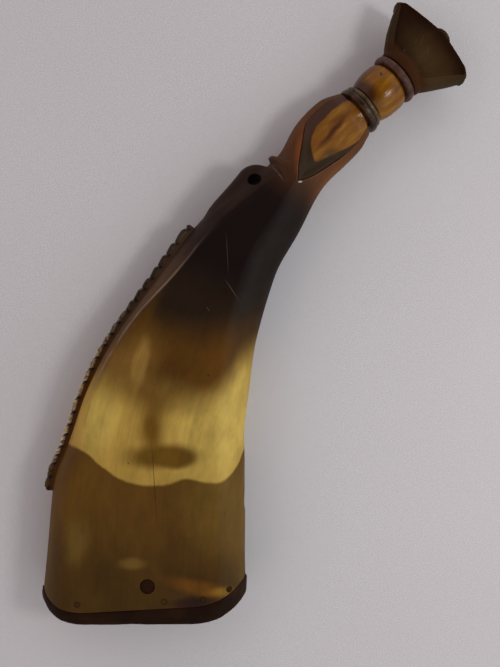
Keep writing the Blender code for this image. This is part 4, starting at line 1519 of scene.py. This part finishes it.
def carved_wood():
    """The stopper's wood: orange brown on its foot, olive brown on the face under a painted pool of light,
    and painted darker away from it towards the rim, as painted shade.
    """
    paint = Paint("fan_wood", specular=0.03)
    grain = paint.stored("grain")
    across, up, along = paint.split(grain)
    bands = paint.noise(grain, 0.2, 3, 0.5, (1, 1, 6))
    fibres = paint.noise(grain, 1.8, 4, 0.65, (1, 1, 9))
    face = paint.mix(bands, (0.044, 0.022, 0.0075), (0.078, 0.043, 0.015))
    rim = paint.mix(bands, (0.009, 0.0022, 0.0004), (0.021, 0.0062, 0.001))
    foot = paint.mix(fibres, (0.035, 0.012, 0.004), (0.075, 0.028, 0.009))
    chart = paint.chart(along, across)
    # A painted pool of light on the fan's face; outside it the face is painted darker towards the rim, as
    # painted shade.
    light_pool = paint.spot(paint.warped(chart, 12, 2), (37.5, -4), (7.5, 13), -10, 0.9)
    colour = paint.mix(light_pool, rim, face)
    depth = paint.math("MULTIPLY_ADD", along, BEVEL_SLOPE, paint.math("ABSOLUTE", up))
    # The chamfers are painted lighter: a painted reflection on the facets.
    colour = paint.over(colour, paint.step(depth, *BEVEL_TOP), FAN_CHAMFER_SHEEN, 0.55)
    colour = paint.over(colour, paint.step(along, 31.5, 28.5), foot)
    colour = paint.over(colour, paint.between(fibres, 0.0, 0.45), FAN_FIBRE)
    colour = paint.marks(colour, chart, FAN_MARKS)
    # Sharp edges are painted lighter: partly wear, partly a painted highlight along them.
    colour = paint.over(colour, paint.sharp_edges(0.53, 0.6), FAN_EDGE_WEAR_AND_HIGHLIGHT, 0.5)
    relief = paint.bump(paint.noise(grain, 0.3, 3), 0.2, paint.bump(fibres, 0.1))
    return paint.coat(colour, paint.between(fibres, 0.45, 0.65), relief)


# How close the cloth's threads are, in radians of its wave to a mm.
WEAVE_CLOSE = 5.2


def cloth_floor():
    """Pale grey cloth, faintly violet, with a fine plain weave."""
    paint = Paint("pale_cloth")
    place = paint.place()
    x, y, _ = paint.split(place)
    weave = paint.product(*(paint.math("SINE", paint.product(thread, WEAVE_CLOSE)) for thread in (x, y)))
    colour = paint.mix(paint.noise(place, 0.006, 3), (0.62, 0.6, 0.62), (0.68, 0.665, 0.68))
    return paint.coat(colour, 0.95, paint.bump(weave, 0.03))


# Each simple material: what makes it, its name, the dark and the light colour, the roughness, and for
# wood how far its grain is drawn out across the horn, up and along it.
PLAIN_MATERIALS = {
    "dark": (ring_horn, "dark_ring_horn", (0.012, 0.005, 0.002), (0.075, 0.028, 0.010), 0.22),
    "olive": (ring_horn, "olive_ring_horn", (0.04, 0.022, 0.006), (0.115, 0.078, 0.028), 0.18),
    "purple": (ring_horn, "purple_ring_horn", (0.040, 0.0145, 0.0085), (0.098, 0.040, 0.026), 0.35),
    "board": (wood, "board_wood", (0.011, 0.0036, 0.001), (0.034, 0.0115, 0.0025), 0.5, (14, 1, 1)),
    "peg": (wood, "peg_wood", (0.011, 0.0032, 0.0008), (0.028, 0.0075, 0.0018), 0.6, (1, 9, 1)),
    "pin": (wood, "pin_wood", (0.028, 0.012, 0.003), (0.055, 0.026, 0.006), 0.6, (1, 9, 1)),
}


# ---- the studio ----

# The camera looks straight down. Half of the height it sees is given where the horn's middle lies.
CAMERA_AT = Vector((-2.0, -12.0, 344.0))
VIEW_HALF_HIGH = 156.7
CAMERA_HALF_VIEW = math.atan(VIEW_HALF_HIGH / (CAMERA_AT.z - MIDDLE_Z))
SENSOR_HIGH = 24
NEAREST_SEEN = 0.01

# Soft rectangular lights: name, place in mm, size in metres, watts and colour. They are aimed at a point.
LIGHTS = (
    ("key", (360, -50, 440), (0.11, 0.11), 0.70, (1, 0.985, 0.96)),
    ("window", (1050, 30, 790), (1.4, 1.4), 1.4, (0.96, 0.985, 1)),
)
LIGHTS_AIM = Vector((0, 0, 10.0))

# The room: which way its cooler side lies, the two sides' colours, the heights between which it fades
# overhead (as the upward part of the direction looked in), and how much light is left there.
COOL_SIDE = (0.85, -0.1, 0.5)
WALL_WARM = (0.84, 0.705, 0.675)
WALL_COOL = (0.84, 0.865, 0.90)
OVERHEAD = (0.66, 0.93)
OVERHEAD_LEFT = 0.04

FLOOR_HALF = 3000
FLOOR_DROP = 0.0001


def put_in_scene(name, data, place):
    made = bpy.data.objects.new(name, data)
    made.location = Vector(place) * MM
    bpy.context.scene.collection.objects.link(made)
    return made


def add_camera():
    data = bpy.data.cameras.new("camera")
    data.sensor_fit = "VERTICAL"
    data.sensor_height = SENSOR_HIGH
    data.lens = SENSOR_HIGH / 2 / math.tan(CAMERA_HALF_VIEW)
    data.clip_start = NEAREST_SEEN
    bpy.context.scene.camera = put_in_scene("camera", data, CAMERA_AT)


def add_lights():
    for name, place, size, watts, colour in LIGHTS:
        data = bpy.data.lights.new(name, "AREA")
        data.shape = "RECTANGLE"
        data.size, data.size_y = size
        data.energy = watts
        data.color = colour
        light = put_in_scene(name, data, place)
        light.rotation_euler = (LIGHTS_AIM * MM - light.location).to_track_quat("-Z", "Y").to_euler()


def add_floor(material):
    corners = [(x * FLOOR_HALF, y * FLOOR_HALF, 0) for x, y in ((-1, -1), (1, -1), (1, 1), (-1, 1))]
    floor = new_object("floor", corners, [(0, 1, 2, 3)])
    floor.location.z = CAD_BOX[0][2] - FLOOR_DROP
    floor.data.materials.append(material)
    floor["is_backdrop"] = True


def add_world():
    """A pale room: brighter and cooler on the right, and dark overhead, where the camera is held."""
    world = bpy.data.worlds.new("room")
    world.use_nodes = True
    nodes = Nodes(world.node_tree)
    toward = nodes.add("ShaderNodeTexCoord").outputs["Generated"]
    side = nodes.step(nodes.vector("DOT_PRODUCT", toward, COOL_SIDE, output="Value"), -0.5, 0.9)
    _, _, height = nodes.split(toward)
    background = nodes.tree.nodes["Background"]
    nodes.feed(background.inputs["Color"], nodes.mix(side, WALL_WARM, WALL_COOL))
    strength = nodes.between(nodes.step(height, *OVERHEAD), 1.0, OVERHEAD_LEFT)
    nodes.feed(background.inputs["Strength"], strength)
    bpy.context.scene.world = world


def add_studio():
    bpy.context.scene.view_settings.view_transform = "Standard"
    add_camera()
    add_world()
    add_lights()
    add_floor(cloth_floor())


# ---- everything ----


def main():
    add_studio()
    plain = {name: make(*rest) for name, (make, *rest) in PLAIN_MATERIALS.items()}
    make_horn(horn_skin())
    make_board(plain["board"])
    make_pegs(plain["peg"], plain["pin"])
    make_ridge(ridge_horn())
    make_spout(amber_horn())
    make_rings(plain)
    make_stopper(carved_wood())


main()
[[list(corner) for corner in box] for box in (CAD_BOX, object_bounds())]
